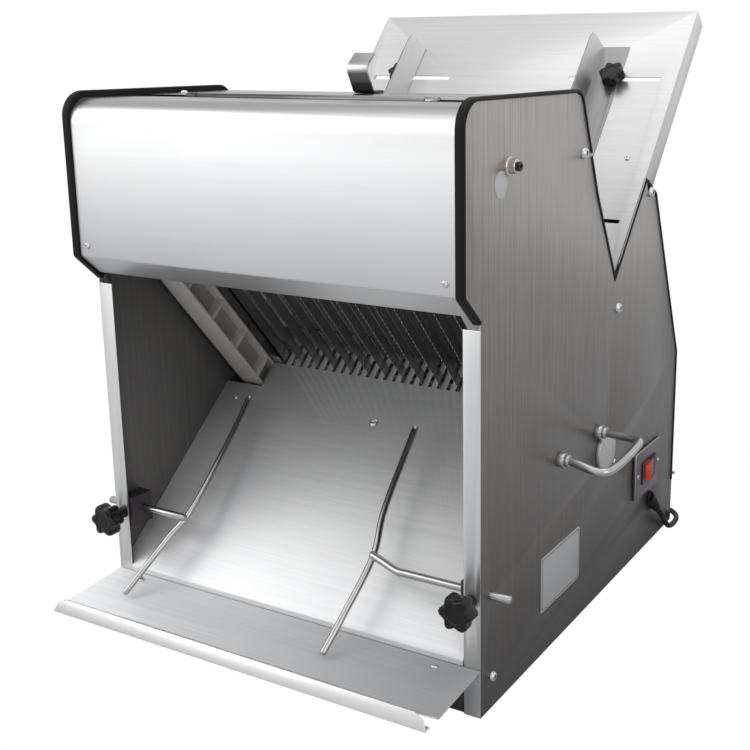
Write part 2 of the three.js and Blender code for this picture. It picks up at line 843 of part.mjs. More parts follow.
function guideRods() {
  const placed = (shares, out) =>
    shares.map(([acrossShare, upShare]) => chutePoint(railInner * acrossShare, slotStart * upShare, out));
  const rightRod = tubeAlong(placed(rightRodShares, guideRodRise), guideRodRadius, 8, 20);
  const rightShaft = joined(
    rodX(crossRadius, railInner * shaftStartShare, crossRightEnd, crossDepth, crossHeight, 12),
    tubeAlong([
      [railInner * shaftLapShare, crossDepth, crossHeight],
      [railInner * shaftKneeShare, crossDepth, crossHeight],
      ...placed(shaftDropShares, guideRodRise + crossRadius / 2),
    ], crossRadius, 12, 6));
  add("guide_rod_right", joined(rightRod, rightShaft), "steel");
  const leftRod = tubeAlong(placed(leftRodShares, guideRodRise), guideRodRadius, 8, 20);
  const leftShaftInner = -railInner * leftShaftShare;
  const leftShaft = rodX(crossRadius, -crossLeftEnd, leftShaftInner, crossDepth, crossHeight, 12);
  add("guide_rod_left", joined(leftRod, leftShaft), "steel");
}

// Chute floor, slotted for the blades, in the chute's directions
function chuteFloor() {
  const flangeEdge = half - flangeWidth - seat;
  const lastSlot = Math.floor((railNotchHalf - slotWidth / 2) / bladePitch) * bladePitch;
  const outerEdge = lastSlot - slotWidth / 2;
  const edge = [
    [flangeEdge, 0], [flangeEdge, floorShoulder], [insideHalf, floorShoulder], [insideHalf, railNotchStart],
    [railNotchHalf, railNotchStart], [railNotchHalf, slotStart], [outerEdge, slotStart],
    [outerEdge, slotEnd],
  ];
  const fingers = [];
  for (let x = lastSlot - bladePitch; x > -lastSlot; x -= bladePitch) {
    fingers.push([x + slotWidth / 2, slotEnd], [x + slotWidth / 2, slotStart]);
    fingers.push([x - slotWidth / 2, slotStart], [x - slotWidth / 2, slotEnd]);
  }
  const otherEdge = edge.map(([u, v]) => [-u, v]).reverse();
  const skin = alongZ([...edge, ...fingers, ...otherEdge], -floorThickness, 0);
  const lip = box(-flangeEdge, flangeEdge, 0, floorThickness, -chuteLip, 0);
  add("chute_floor", joined(skin, lip), "bright", chute);
}

// Blade frames: ribbed cast rails tied by two bars
function bladeFrame(name, start, toRear, side) {
  const end = start + railDepth;
  const barStart = toRear ? start : end - barDepth;
  const rail = box(railInner, railInner + railWidth, start, end, railBottom, railTop);
  const pockets = [];
  const pitch = pocketLength + ribThickness;
  const count = Math.floor((railTop - railBottom - 2 * ribThickness) / pitch);
  for (let index = 0; index < count; index += 1) {
    const low = railBottom + ribThickness + index * pitch;
    pockets.push(box(railInner - overrun, railInner + pocketDepth, start + pocketWall, end - pocketWall, low,
      low + pocketLength));
  }
  const right = cut(rail, ...pockets);
  const barReach = railInner + pocketDepth + sheet;
  const lower = box(-barReach, barReach, barStart, barStart + barDepth, -barDrop - barHeight, -barDrop);
  const upper = box(-barReach, barReach, barStart, barStart + barDepth, barTopReach, barTopReach + barHeight);
  const middle = start + railDepth / 2;
  const fork = cut(
    box(railInner + pocketWall, railInner + railWidth - pocketWall, middle - rodEndRadius + sheet,
      middle + rodEndRadius - sheet, railBottom - forkDrop, railBottom + sheet),
    box(rodMiddle - forkSlot / 2, rodMiddle + forkSlot / 2, start, end, railBottom - forkDrop - overrun,
      railBottom),
    rodX(wristPinRadius + seat, railInner, railInner + railWidth, middle, railBottom - forkDrop / 2, 16));
  const placedFork = side > 0 ? fork : mirrored(fork);
  add(name, joined(right, mirrored(right), lower, upper, placedFork), "cast", chute);
}

// One set of blades on its two clamp bars
function bladeSet(name, start, first) {
  const parts = [];
  const clampStart = start;
  const low = -barDrop - barHeight;
  for (const base of [low, barTopReach]) {
    parts.push(box(-clampReach, clampReach, clampStart, clampStart + clampDepth, base, base + barHeight));
  }
  const count = Math.floor((bladeCount - first + 1) / 2);
  for (let index = 0; index < count; index += 1) {
    const x = (-(bladeCount - 1) / 2 + first + 2 * index) * bladePitch;
    parts.push(box(x - bladeThickness / 2, x + bladeThickness / 2, clampStart + bladeSeat,
      clampStart + bladeSeat + bladeWidth, low + barHeight - sheet, barTopReach + sheet));
  }
  add(name, joined(...parts), "steel", chute);
}

function guidePosts() {
  const inner = railInner + railWidth + postGap;
  const post = box(inner, insideHalf, postStart, postStart + postLength, postBottom, postTop);
  const window = box(inner + postChannel, insideHalf + overrun, postStart + postChannel,
    postStart + postLength - postChannel, postBottom - overrun, postTop + overrun);
  addPair("guide_post", cut(post, window), "dark", chute);
}

// Crankshaft with a crank at each end, its bearings, rods and belt drive
function crankshaft() {
  const parts = [rodX(shaftRadius, -crankInner - sheet, crankInner + sheet, crankUp, -crankDrop)];
  for (const side of [-1, 1]) {
    const web = rodX(crankRadius, crankInner, crankInner + crankThickness, crankUp, -crankDrop);
    const pin = rodX(crankPinRadius, crankInner + sheet, crankInner + crankThickness + crankPinLength,
      crankUp + side * stroke, -crankDrop, 16);
    parts.push(side > 0 ? web : mirrored(web));
    parts.push(side > 0 ? pin : mirrored(pin));
  }
  add("crankshaft", joined(...parts), "steel", chute);
}

function connectingRod(name, side) {
  const start = side > 0 ? rearRailStart : frontRailStart;
  const wrist = [start + railDepth / 2, railBottom - forkDrop / 2];
  const pin = [crankUp + side * stroke, -crankDrop];
  const x0 = rodStart;
  const x1 = rodStart + rodThickness;
  const line = new THREE.Vector2(pin[0] - wrist[0], pin[1] - wrist[1]).normalize();
  const across = [-line.y * rodWaist / 2, line.x * rodWaist / 2];
  const waist = alongX([
    [wrist[0] + across[0], wrist[1] + across[1]], [pin[0] + across[0], pin[1] + across[1]],
    [pin[0] - across[0], pin[1] - across[1]], [wrist[0] - across[0], wrist[1] - across[1]],
  ], x0, x1);
  const smallEnd = rodX(rodWaist / 2, x0, x1, wrist[0], wrist[1]);
  const bigEnd = rodX(rodEndRadius, x0, x1, pin[0], pin[1]);
  const bore = rodX(crankPinRadius + seat, x0 - overrun, x1 + overrun, pin[0], pin[1], 16);
  const wristPin = rodX(wristPinRadius, railInner + pocketWall, railInner + railWidth - pocketWall, wrist[0],
    wrist[1], 16);
  const rod = joined(cut(joined(waist, smallEnd, bigEnd), bore), wristPin);
  add(name, side > 0 ? rod : mirrored(rod), "steel", chute);
}

function bearings() {
  const block = box(bearingInner, bearingInner + bearingWidth, crankY - bearingHeight / 2,
    crankY + bearingHeight / 2, beamBottom + beamHeight + seat, crankZ + bearingHeight / 2);
  const bore = rodX(shaftRadius + bearingClearance, 0, half, crankY, crankZ);
  addPair("shaft_bearing", cut(block, bore), "cast");
}

function driveBeam() {
  const tube = box(-insideHalf, insideHalf, beamFront, beamFront + beamDepth, beamBottom,
    beamBottom + beamHeight);
  const hollow = box(-half, half, beamFront + beamWall, beamFront + beamDepth - beamWall,
    beamBottom + beamWall, beamBottom + beamHeight - beamWall);
  add("drive_beam", cut(tube, hollow), "dark");
}

function grooved(radius, x0, x1, y, z) {
  const near = (x0 + x1 - beltWidth) / 2 - seat;
  const far = (x0 + x1 + beltWidth) / 2 + seat;
  const profile = [
    [0, x0], [radius, x0], [radius, near], [radius - pulleyGroove, near],
    [radius - pulleyGroove, far], [radius, far], [radius, x1], [0, x1],
  ].map(([u, v]) => new THREE.Vector2(u, v));
  return new THREE.LatheGeometry(profile, fineSides).rotateZ(-Math.PI / 2).translate(0, y, z);
}

function pulleys() {
  const x0 = pulleyInner;
  const x1 = pulleyInner + pulleyWidth;
  const bigBore = rodX(shaftRadius + bearingClearance, 0, half, crankY, crankZ);
  add("crank_pulley", cut(grooved(pulleyRadius, x0, x1, crankY, crankZ), bigBore), "cast");
  const smallBore = rodX(motorShaftRadius + bearingClearance, 0, half, motorDepthPlace, motorHeight);
  const small = grooved(motorPulleyRadius, x0, x1, motorDepthPlace, motorHeight);
  add("motor_pulley", cut(small, smallBore), "cast");
}

function driveBelt() {
  const big = new THREE.Vector2(crankY, crankZ);
  const small = new THREE.Vector2(motorDepthPlace, motorHeight);
  const reach = big.distanceTo(small);
  const heading = Math.atan2(small.y - big.y, small.x - big.x) / degrees;
  const bigInner = pulleyRadius - pulleyGroove + seat;
  const smallInner = motorPulleyRadius - pulleyGroove + seat;
  const spread = Math.acos((bigInner - smallInner) / reach) / degrees;
  const loop = (extra) => [
    ...arc(big.x, big.y, bigInner + extra, heading + spread, heading + 360 - spread, 20),
    ...arc(small.x, small.y, smallInner + extra, heading - spread, heading + spread, 10),
  ];
  const shape = new THREE.Shape(loop(beltThickness).map(([u, v]) => new THREE.Vector2(u, v)));
  shape.holes.push(new THREE.Path(loop(0).map(([u, v]) => new THREE.Vector2(u, v))));
  const turn = new THREE.Matrix4().makeBasis(
    new THREE.Vector3(0, 1, 0), new THREE.Vector3(0, 0, 1), new THREE.Vector3(1, 0, 0));
  const x0 = pulleyInner + (pulleyWidth - beltWidth) / 2;
  const belt = new THREE.ExtrudeGeometry(shape, { depth: beltWidth, bevelEnabled: false });
  add("drive_belt", belt.applyMatrix4(turn).translate(x0, 0, 0), "rubber");
}

function motor() {
  const end = motorStart + motorLength;
  const barrel = rodX(motorRadius, motorStart, end, motorDepthPlace, motorHeight, fineSides);
  const foot = box(motorStart + motorFootInset, end - motorFootInset, motorDepthPlace - motorFootWidth / 2,
    motorDepthPlace + motorFootWidth / 2, motorHeight - motorRadius - motorFootHeight / 2,
    motorHeight - motorRadius + motorFootHeight);
  const lid = box(motorStart + motorBoxInset, motorStart + motorBoxInset + motorBoxLength,
    motorDepthPlace - motorBoxWidth / 2, motorDepthPlace + motorBoxWidth / 2, motorHeight,
    motorHeight + motorRadius + motorBoxHeight);
  add("motor_body", joined(barrel, foot, lid), "paint");
  const shaft = rodX(motorShaftRadius, end + seat, pulleyInner + pulleyWidth, motorDepthPlace, motorHeight);
  add("motor_shaft", shaft, "steel");
}

// Channel that is welded to the base plate and carries the motor's foot
function motorStand() {
  const top = motorHeight - motorRadius - motorFootHeight / 2 - seat;
  const bottom = footHeight + seat + baseThickness / 2;
  const outline = [
    [-mountWidth / 2, bottom], [-mountWidth / 2, top], [mountWidth / 2, top], [mountWidth / 2, bottom],
    [mountWidth / 2 - plateThickness, bottom], [mountWidth / 2 - plateThickness, top - plateThickness],
    [-mountWidth / 2 + plateThickness, top - plateThickness], [-mountWidth / 2 + plateThickness, bottom],
  ].map(([u, v]) => [u + motorDepthPlace, v]);
  return alongX(outline, motorStart + motorFootInset, motorStart + motorFootInset + mountLength);
}

// Outfeed tray, crumb drawer, base and beam
function outfeedTray() {
  const path = [
    [-seat, trayBackHeight - trayBackDrop],
    [-seat, trayBackHeight],
    [-trayFloorReach, trayFloorFront],
    [-trayLipReach, trayLipHeight],
    [-trayFaceReach, trayFaceBottom],
    [-trayFaceReach + trayHemReturn, trayFaceBottom],
  ];
  const skin = alongX(band(path, 0, -sheet), -half, half);
  const corner = (side) => alongY([
    [side * half, trayLipHeight - trayCornerCut], [side * (half + overrun), trayLipHeight - trayCornerCut],
    [side * (half + overrun), trayLipHeight + overrun],
    [side * (half - trayCornerCut), trayLipHeight + overrun],
    [side * (half - trayCornerCut), trayLipHeight],
    [side * (half - trayCornerCut * trayCornerShare), trayLipHeight - trayCornerCut * trayCornerShare],
  ], -trayFaceReach - overrun, -trayFloorReach - sheet);
  add("outfeed_tray", cut(skin, corner(1), corner(-1)), "brushed");
}

function crumbDrawer() {
  const top = drawerBottom + drawerHeight;
  const shell = box(-drawerHalf, drawerHalf, 0, drawerDepth, drawerBottom, top);
  const hollow = box(-drawerHalf + sheet, drawerHalf - sheet, sheet, drawerDepth - sheet,
    drawerBottom + sheet, top + overrun);
  const front = box(-drawerFrontHalf, drawerFrontHalf, 0, sheet, drawerBottom, top);
  const lip = box(-drawerLipHalf, drawerLipHalf, -drawerLip, sheet, drawerBottom, drawerBottom + sheet);
  add("crumb_drawer", joined(cut(shell, hollow), front, lip), "dark");
}

function baseAndBeam() {
  const bottom = footHeight + seat;
  const top = bottom + baseThickness;
  const plate = box(-insideHalf, insideHalf, sheet + seat, bodyDepth - baseRearGap, bottom, top);
  const runner = box(drawerHalf + seat, drawerHalf + seat + sheet, 2 * sheet + seat, drawerDepth,
    top - sheet / 2, top + runnerHeight);
  const stop = box(-drawerHalf / 2, drawerHalf / 2, drawerDepth + seat, drawerDepth + seat + sheet,
    top - sheet / 2, top + runnerHeight);
  add("base_plate", joined(plate, runner, mirrored(runner), stop, motorStand()), "dark");
  const beam = [
    [sheet + seat, frontBeamBottom], [sheet + seat + frontBeamDepth, frontBeamBottom],
    [sheet + seat + frontBeamDepth, frontBeamBottom + sheet], [2 * sheet + seat, frontBeamBottom + sheet],
    [2 * sheet + seat, frontBeamBottom + frontBeamHeight], [sheet + seat, frontBeamBottom + frontBeamHeight],
  ];
  add("front_beam", alongX(beam, -insideHalf, insideHalf), "dark");
  const strip = box(half - footInset - footSize, half - footInset, footInset, bodyDepth - footInset, 0,
    footHeight);
  addPair("foot_strip", strip, "rubber");
}

// Side fittings
function sideHandles() {
  const root = half + seat;
  const out = half + handleStand;
  const frontGrip = handleHeight - handleFrontSag;
  const rearGrip = handleHeight - handleRearSag;
  const early = handleBend * handleBendShare;
  const leg = (y, towards, grip) => [
    [root, y, handleHeight],
    [root + handleBossLength, y, handleHeight],
    [out - handleBend, y, grip],
    [out - early, y + towards * early, grip],
    [out, y + towards * handleBend, grip],
  ];
  const line = [...leg(handleFront, 1, frontGrip), ...leg(handleRear, -1, rearGrip).reverse()];
  const bar = tubeAlong(line, handleRadius, 10, 30);
  const bosses = [handleFront, handleRear].map(
    (y) => rodX(handleBoss, root, root + handleBossLength, y, handleHeight, 16));
  addPair("side_handle", joined(bar, ...bosses), "steel");
}

function endCap() {
  const profile = [
    [0, 0], [capRadius, 0], [capRadius, capThickness - capRound],
    [capRadius - capRound, capThickness], [0, capThickness],
  ].map(([u, v]) => new THREE.Vector2(u, v));
  const cap = new THREE.LatheGeometry(profile, fineSides).rotateZ(-Math.PI / 2);
  add("shaft_end_cap", cap.translate(half + seat, crankY, crankZ), "bright");
}

// The rocker turns on an upright pin, and rests with its front end standing out
function powerSwitch() {
  const x0 = half + seat;
  const plate = box(x0, x0 + switchThickness, switchDepth, switchDepth + switchLength, switchBottom,
    switchBottom + switchHeight);
  add("switch_plate", cut(plate, switchHole(x0 - overrun, x0 + switchThickness + overrun)), "plastic");
  const face = x0 + switchThickness + seat;
  const pivot = face + bezelStand;
  const tall = bezelBoxTall - bezelWall;
  const long = bezelBoxHalf - bezelWall;
  const flange = box(face, pivot, rockerDepth - bezelLength / 2, rockerDepth + bezelLength / 2,
    rockerCentreHeight - bezelHeight / 2, rockerCentreHeight + bezelHeight / 2);
  const shell = box(face - bezelDepth, face + seat, rockerDepth - bezelBoxHalf, rockerDepth + bezelBoxHalf,
    rockerCentreHeight - bezelBoxTall, rockerCentreHeight + bezelBoxTall);
  const well = box(face - bezelDepth + bezelFloor, pivot + overrun, rockerDepth - long, rockerDepth + long,
    rockerCentreHeight - tall, rockerCentreHeight + tall);
  const pinPlace = pivot - rockerPinRadius - seat;
  const bore = rodZ(rockerPinRadius + seat, rockerCentreHeight - bezelBoxTall - overrun,
    rockerCentreHeight + bezelBoxTall + overrun, pinPlace, rockerDepth, 12);
  add("rocker_bezel", cut(joined(flange, shell), well, bore), "plastic");
  const body = rockerProfile().map(([out, along]) => [pinPlace + out, rockerDepth + along]);
  const cap = alongZ(body, rockerCentreHeight - rockerHeight / 2, rockerCentreHeight + rockerHeight / 2);
  const pin = rodZ(rockerPinRadius, rockerCentreHeight - bezelBoxTall, rockerCentreHeight + bezelBoxTall,
    pinPlace, rockerDepth, 12);
  add("rocker_switch", joined(cap, pin), "red");
}

// Section of the rocker around its pin, as (outwards, along the panel): two round ends and a dipped face
function rockerProfile() {
  const reach = rockerLength / 2;
  const tip = (angle) => {
    const turned = angle * degrees;
    return [reach * Math.sin(turned), -reach * Math.cos(turned)];
  };
  const [frontOut, frontAlong] = tip(rockerTilt + rockerRise);
  const [rearOut, rearAlong] = tip(180 - rockerRise + rockerTilt);
  const front = arc(0, 0, reach, -90 - rockerUnder + rockerTilt, -90 + rockerRise + rockerTilt, 4);
  const rear = arc(0, 0, reach, 90 - rockerRise + rockerTilt, 90 + rockerUnder + rockerTilt, 4);
  const dip = [(frontOut + rearOut) / 2 - rockerDip, (frontAlong + rearAlong) / 2];
  return [...front, dip, ...rear];
}

// Mains lead: gland, free stretch, coil and plug
const cordRoute = [
  [234.3, 466.5, 45.1],
  [235.9, 471.7, 39.2],
  [237.2, 477.6, 32.6],
  [237.4, 483.7, 26],
  [237.4, 489.9, 19.4],
  [237.4, 496.5, 13.3],
  [237.4, 503.9, 8.4],
  [237.4, 512.4, 5.2],
  [237.4, 521.3, 3.9],
  [237.1, 530.3, 3.6],
  [235.8, 540.2, 3.6],
  [232.7, 549.6, 3.6],
  [227.2, 558, 3.6],
  [219.6, 564.4, 3.6],
  [210.4, 568.4, 3.6],
  [200.6, 570.3, 3.6],
  [188.7, 571, 3.6],
  [176.7, 571, 3.6],
  [148.7, 571, 3.6],
  [120.7, 571, 3.6],
  [87.4, 571, 3.6],
];

// A sleeve that leaves its flange close to the panel and points down and to the rear
function cordGland() {
  const x0 = half + seat;
  const out = Math.sin(glandLean * degrees);
  const along = Math.cos(glandLean * degrees);
  const way = new THREE.Vector3(
    out, along * Math.cos(glandFall * degrees), -along * Math.sin(glandFall * degrees));
  const lean = new THREE.Quaternion().setFromUnitVectors(new THREE.Vector3(1, 0, 0), way);
  const flange = rodX(glandFlange, x0, x0 + glandFlangeThickness, glandDepth, glandHeight);
  const sleeve = coneX(glandRadius, glandTip, -glandFlangeThickness, glandLength)
    .applyQuaternion(lean).translate(x0, glandDepth, glandHeight);
  const behind = box(half - glandLength, x0, glandDepth - glandLength, glandDepth + glandLength,
    glandHeight - glandLength, glandHeight + glandLength);
  add("cord_gland", cut(joined(flange, sleeve), behind), "rubber");
}

// One unbroken winding: inwards on the bench, up a layer where the spiral reverses, and outwards again
function coilCentre(turn) {
  const outer = coilInnerRadius + coilTurns * coilStep;
  const reverse = coilTurns + coilClimbShare / 2;
  const inwards = Math.min(turn, reverse) - Math.max(turn - reverse, 0);
  const radius = outer - coilStep * inwards;
  const share = Math.min(Math.max((turn - coilTurns) / coilClimbShare, 0), 1);
  const z = cordRadius + cordLift + coilLayer * share * share * (3 - 2 * share);
  const angle = turn * 2 * Math.PI;
  return new THREE.Vector3(coilX - radius * Math.sin(angle), coilY - radius * Math.cos(angle), z);
}

function coilTube() {
  const turns = 2 * coilTurns + coilClimbShare;
  const steps = Math.round(turns * loopSteps);
  const centres = [];
  for (let index = 0; index <= steps; index += 1) {
    centres.push(coilCentre((index / steps) * turns));
  }
  const nudge = 1 / (loopSteps * loopSteps);
  const firstWay = coilCentre(0).sub(coilCentre(nudge)).setZ(0).normalize();
  const lastWay = coilCentre(turns).sub(coilCentre(turns - nudge)).setZ(0).normalize();
  centres.unshift(coilCentre(0).addScaledVector(firstWay, 2 * cordRadius));
  centres.push(coilCentre(turns).addScaledVector(lastWay, 2 * cordRadius));
  return centres;
}

function leastGap(centres) {
  let least = Infinity;
  for (let first = 0; first < centres.length; first += 1) {
    for (let second = first + loopSteps / 2; second < centres.length; second += 1) {
      least = Math.min(least, centres[first].distanceTo(centres[second]) - 2 * cordRadius);
    }
  }
  return least;
}

function tubeThrough(centres, radius, count) {
  const up = new THREE.Vector3(0, 0, 1);
  const rings = centres.map((centre, index) => {
    const before = centres[Math.max(index - 1, 0)];
    const after = centres[Math.min(index + 1, centres.length - 1)];
    const way = after.clone().sub(before).normalize();
    const across = new THREE.Vector3().crossVectors(way, up).normalize();
    const over = new THREE.Vector3().crossVectors(across, way);
    const place = ([u, v]) => centre.clone().addScaledVector(across, u).addScaledVector(over, v);
    return circle(radius, count).map(place);
  });
  const vertices = rings.flat().concat([centres[0], centres[centres.length - 1]]);
  const faces = [];
  for (let ring = 0; ring < rings.length - 1; ring += 1) {
    for (let side = 0; side < count; side += 1) {
      const next = (side + 1) % count;
      const a = ring * count + side;
      const b = ring * count + next;
      faces.push(a, a + count, b, b, a + count, b + count);
    }
  }
  const start = vertices.length - 2;
  const base = (rings.length - 1) * count;
  for (let side = 0; side < count; side += 1) {
    const next = (side + 1) % count;
    faces.push(start, side, next, start + 1, base + next, base + side);
  }
  const geometry = new THREE.BufferGeometry();
  const numbers = vertices.flatMap((place) => [place.x, place.y, place.z]);
  geometry.setAttribute("position", new THREE.Float32BufferAttribute(numbers, 3));
  geometry.setIndex(faces);
  geometry.computeVertexNormals();
  return geometry;
}

function mainsLead() {
  cordGland();
  add("cord_run", tubeAlong(cordRoute, cordRadius, cordSides, 36), "rubber");
  const centres = coilTube();
  console.log(`least gap in the coil: ${leastGap(centres).toFixed(2)} mm`);
  add("cord_coil", tubeThrough(centres, cordRadius, loopSides), "rubber");
  const last = centres[centres.length - 1];
  const way = last.clone().sub(centres[centres.length - 2]).normalize();
  const angle = Math.atan2(way.y, way.x);
  const neck = coneX(cordRadius + seat, plugNeckRadius, seat, plugNeckLength + sheet, 16);
  const face = plugNeckLength + plugLength;
  const body = box(plugNeckLength, face, -plugWidth / 2, plugWidth / 2, cordLift - last.z,
    plugThickness - last.z);
  const pins = [-1, 1].map((side) => rodX(plugPinRadius, face - sheet, face + plugPinLength,
    side * plugPinSpacing / 2, 0, 12));
  const plug = joined(neck, body, ...pins).rotateZ(angle).translate(last.x, last.y, last.z);
  add("mains_plug", plug, "plastic");
}

sidePanels();
edgeTrims();
framePlates();
hoodCover();
topCover();
holdDownFlap();
strapHandle();
rearCover();
infeedPlate();
loafGuide(1, rightGuidePlace, rightKnobPlace);
loafGuide(-1, leftGuidePlace, leftKnobPlace);
starKnobs();
guideRods();
chuteFloor();
bladeFrame("blade_frame_front", frontRailStart, false, -1);
bladeFrame("blade_frame_rear", rearRailStart, true, 1);
bladeSet("blade_set_front", frontRailStart + railDepth + seat, 0);
bladeSet("blade_set_rear", rearRailStart - seat - clampDepth, 1);
guidePosts();
crankshaft();
connectingRod("connecting_rod_front", -1);
connectingRod("connecting_rod_rear", 1);
bearings();
driveBeam();
pulleys();
driveBelt();
motor();
outfeedTray();
crumbDrawer();
baseAndBeam();
sideHandles();
endCap();
powerSwitch();
mainsLead();

export default slicer;
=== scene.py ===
# Looks for the bench bread slicer: brushed stainless panels, rubber edge trim, two blade sets,
# a slotted chute, bent guide rods and the mains lead.
import json
import math

import bmesh
import bpy
from mathutils import Matrix, Vector


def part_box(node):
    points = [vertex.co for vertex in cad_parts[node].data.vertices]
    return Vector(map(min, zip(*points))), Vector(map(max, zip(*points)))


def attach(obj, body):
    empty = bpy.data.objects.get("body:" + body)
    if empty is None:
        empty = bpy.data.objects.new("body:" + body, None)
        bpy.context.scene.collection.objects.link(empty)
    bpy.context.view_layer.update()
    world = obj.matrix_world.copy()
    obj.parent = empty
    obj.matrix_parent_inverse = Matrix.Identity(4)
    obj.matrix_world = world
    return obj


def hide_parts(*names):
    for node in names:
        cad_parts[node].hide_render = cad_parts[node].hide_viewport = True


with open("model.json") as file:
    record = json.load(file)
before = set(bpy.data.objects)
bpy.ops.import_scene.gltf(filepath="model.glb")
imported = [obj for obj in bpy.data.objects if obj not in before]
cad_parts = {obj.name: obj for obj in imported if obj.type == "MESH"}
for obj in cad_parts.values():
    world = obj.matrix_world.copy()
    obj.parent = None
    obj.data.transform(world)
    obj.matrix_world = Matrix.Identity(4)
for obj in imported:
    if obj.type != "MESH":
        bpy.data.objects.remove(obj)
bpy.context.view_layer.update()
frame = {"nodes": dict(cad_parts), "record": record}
scene = bpy.context.scene
mm = 0.001

# The body's front plane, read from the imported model, and how the chute and the infeed plate lie
frontGap = 1.8 * mm
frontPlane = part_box("base_plate")[0].y - frontGap
chuteSlope = {"turn": math.radians(40.9), "depth": -1, "height": 59.3}
infeedSlope = {"turn": math.radians(48.3), "depth": 317, "height": 374}


def at(x, y, z):
    return Vector((x * mm, frontPlane + y * mm, z * mm))


def onSlope(slope, x, up, out):
    ahead = slope["depth"] + up * math.cos(slope["turn"]) - out * math.sin(slope["turn"])
    height = slope["height"] + up * math.sin(slope["turn"]) + out * math.cos(slope["turn"])
    return at(x, ahead, height)


right = Vector((1, 0, 0))


def slopeNormal(slope):
    return Vector((0, -math.sin(slope["turn"]), math.cos(slope["turn"])))


# Camera at the photograph's place
cameraSet = {"place": (678.89, -842.56, 613.99), "yaw": 29.51, "down": 13.31, "roll": -0.3,
             "lens": 54.68, "shiftX": -0.1053, "shiftY": -0.0728}


def makeCamera():
    data = bpy.data.cameras.new("studioCamera")
    data.sensor_width = 36
    data.lens = cameraSet["lens"]
    data.shift_x = cameraSet["shiftX"]
    data.shift_y = cameraSet["shiftY"]
    camera = bpy.data.objects.new("studioCamera", data)
    scene.collection.objects.link(camera)
    turn = Matrix.Rotation(math.radians(cameraSet["yaw"]), 4, "Z")
    turn = turn @ Matrix.Rotation(math.radians(90 - cameraSet["down"]), 4, "X")
    turn = turn @ Matrix.Rotation(math.radians(cameraSet["roll"]), 4, "Z")
    camera.matrix_world = Matrix.Translation(at(*cameraSet["place"])) @ turn
    scene.camera = camera


makeCamera()
print("camera set")


# Node trees
def addNode(tree, kind, inputs=None, **settings):
    node = tree.nodes.new(kind)
    for name, value in settings.items():
        setattr(node, name, value)
    for key, value in (inputs or {}).items():
        if isinstance(value, bpy.types.NodeSocket):
            tree.links.new(value, node.inputs[key])
        else:
            node.inputs[key].default_value = value
    return node


# A node group whose sockets are given as name, kind and value
def newGroup(name, inputs, outputs, kind="Shader"):
    tree = bpy.data.node_groups.new(name, kind + "NodeTree")
    for way, rows in (("INPUT", inputs), ("OUTPUT", outputs)):
        for label, socketKind, *value in rows:
            socket = tree.interface.new_socket(name=label, in_out=way, socket_type="NodeSocket" + socketKind)
            if value:
                socket.default_value = value[0]
    return tree, addNode(tree, "NodeGroupInput").outputs


def math2(tree, operation, first, second):
    return addNode(tree, "ShaderNodeMath", {0: first, 1: second}, operation=operation).outputs[0]


# Brushing marks: fine noise drawn out along one direction, with a broader wave in it
brushSet = {"fine": {"scale": 1.0, "detail": 3.0, "share": 0.55},
            "broad": {"scale": 0.23, "detail": 2.0, "share": 0.45}}


def brushGroup():
    tree, given = newGroup("brushMarks", [("Vector", "Vector"), ("Stretch", "Vector", (1, 1, 1)),
                                          ("Fine", "Float", 1)], [("Marks", "Float"), ("Height", "Float")])
    scaled = addNode(tree, "ShaderNodeVectorMath", {0: given["Vector"], 1: given["Stretch"]},
                     operation="MULTIPLY")
    noises, shares = [], []
    for layer in brushSet.values():
        noise = addNode(tree, "ShaderNodeTexNoise", {
            "Detail": layer["detail"], "Vector": scaled.outputs[0],
            "Scale": math2(tree, "MULTIPLY", given["Fine"], layer["scale"])})
        noises.append(noise.outputs["Fac"])
        shares.append(math2(tree, "MULTIPLY", noises[-1], layer["share"]))
    addNode(tree, "NodeGroupOutput", {"Marks": math2(tree, "ADD", *shares), "Height": noises[0]})
    return tree


# A fade from 0 to 1 between two distances along a direction, which places the metals' painted light and
# shade
def fadeGroup():
    tree, given = newGroup("fadeAlong", [("Vector", "Vector"), ("Direction", "Vector"),
                                         ("Start", "Float"), ("End", "Float")], [("Fade", "Float")])
    dot = addNode(tree, "ShaderNodeVectorMath", {0: given["Vector"], 1: given["Direction"]},
                  operation="DOT_PRODUCT")
    ranged = addNode(tree, "ShaderNodeMapRange", {"Value": dot.outputs["Value"], "From Min": given["Start"],
                                                  "From Max": given["End"]})
    addNode(tree, "NodeGroupOutput", {"Fade": ranged.outputs["Result"]})
    return tree


# Makes a colour lighter and darker with the marks, which swing about their middle
def tintGroup():
    middle = 0.5
    tree, given = newGroup("tintByMarks", [("Color", "Color"), ("Marks", "Float"), ("Amount", "Float")],
                           [("Color", "Color")])
    swing = math2(tree, "MULTIPLY", math2(tree, "SUBTRACT", given["Marks"], middle), given["Amount"])
    scaled = addNode(tree, "ShaderNodeVectorMath", {
        0: given["Color"], "Scale": math2(tree, "ADD", swing, 1)}, operation="SCALE")
    addNode(tree, "NodeGroupOutput", {"Color": scaled.outputs[0]})
    return tree


# Cloudy handling marks that make a surface a little rougher
smudgeSet = {"detail": 4, "low": 0.3, "high": 0.7}


def smudgeGroup():
    tree, given = newGroup("smudges", [("Vector", "Vector"), ("Size", "Float"), ("Marks", "Float"),
                                       ("Low", "Float"), ("High", "Float")], [("Roughness", "Float")])
    noise = addNode(tree, "ShaderNodeTexNoise", {"Detail": smudgeSet["detail"], "Vector": given["Vector"],
                                                 "Scale": given["Size"]})
    mean = math2(tree, "MULTIPLY", math2(tree, "ADD", noise.outputs["Fac"], given["Marks"]), 0.5)
    ranged = addNode(tree, "ShaderNodeMapRange", {
        "Value": mean, "From Min": smudgeSet["low"], "From Max": smudgeSet["high"],
        "To Min": given["Low"], "To Max": given["High"]})
    addNode(tree, "NodeGroupOutput", {"Roughness": ranged.outputs["Result"]})
    return tree


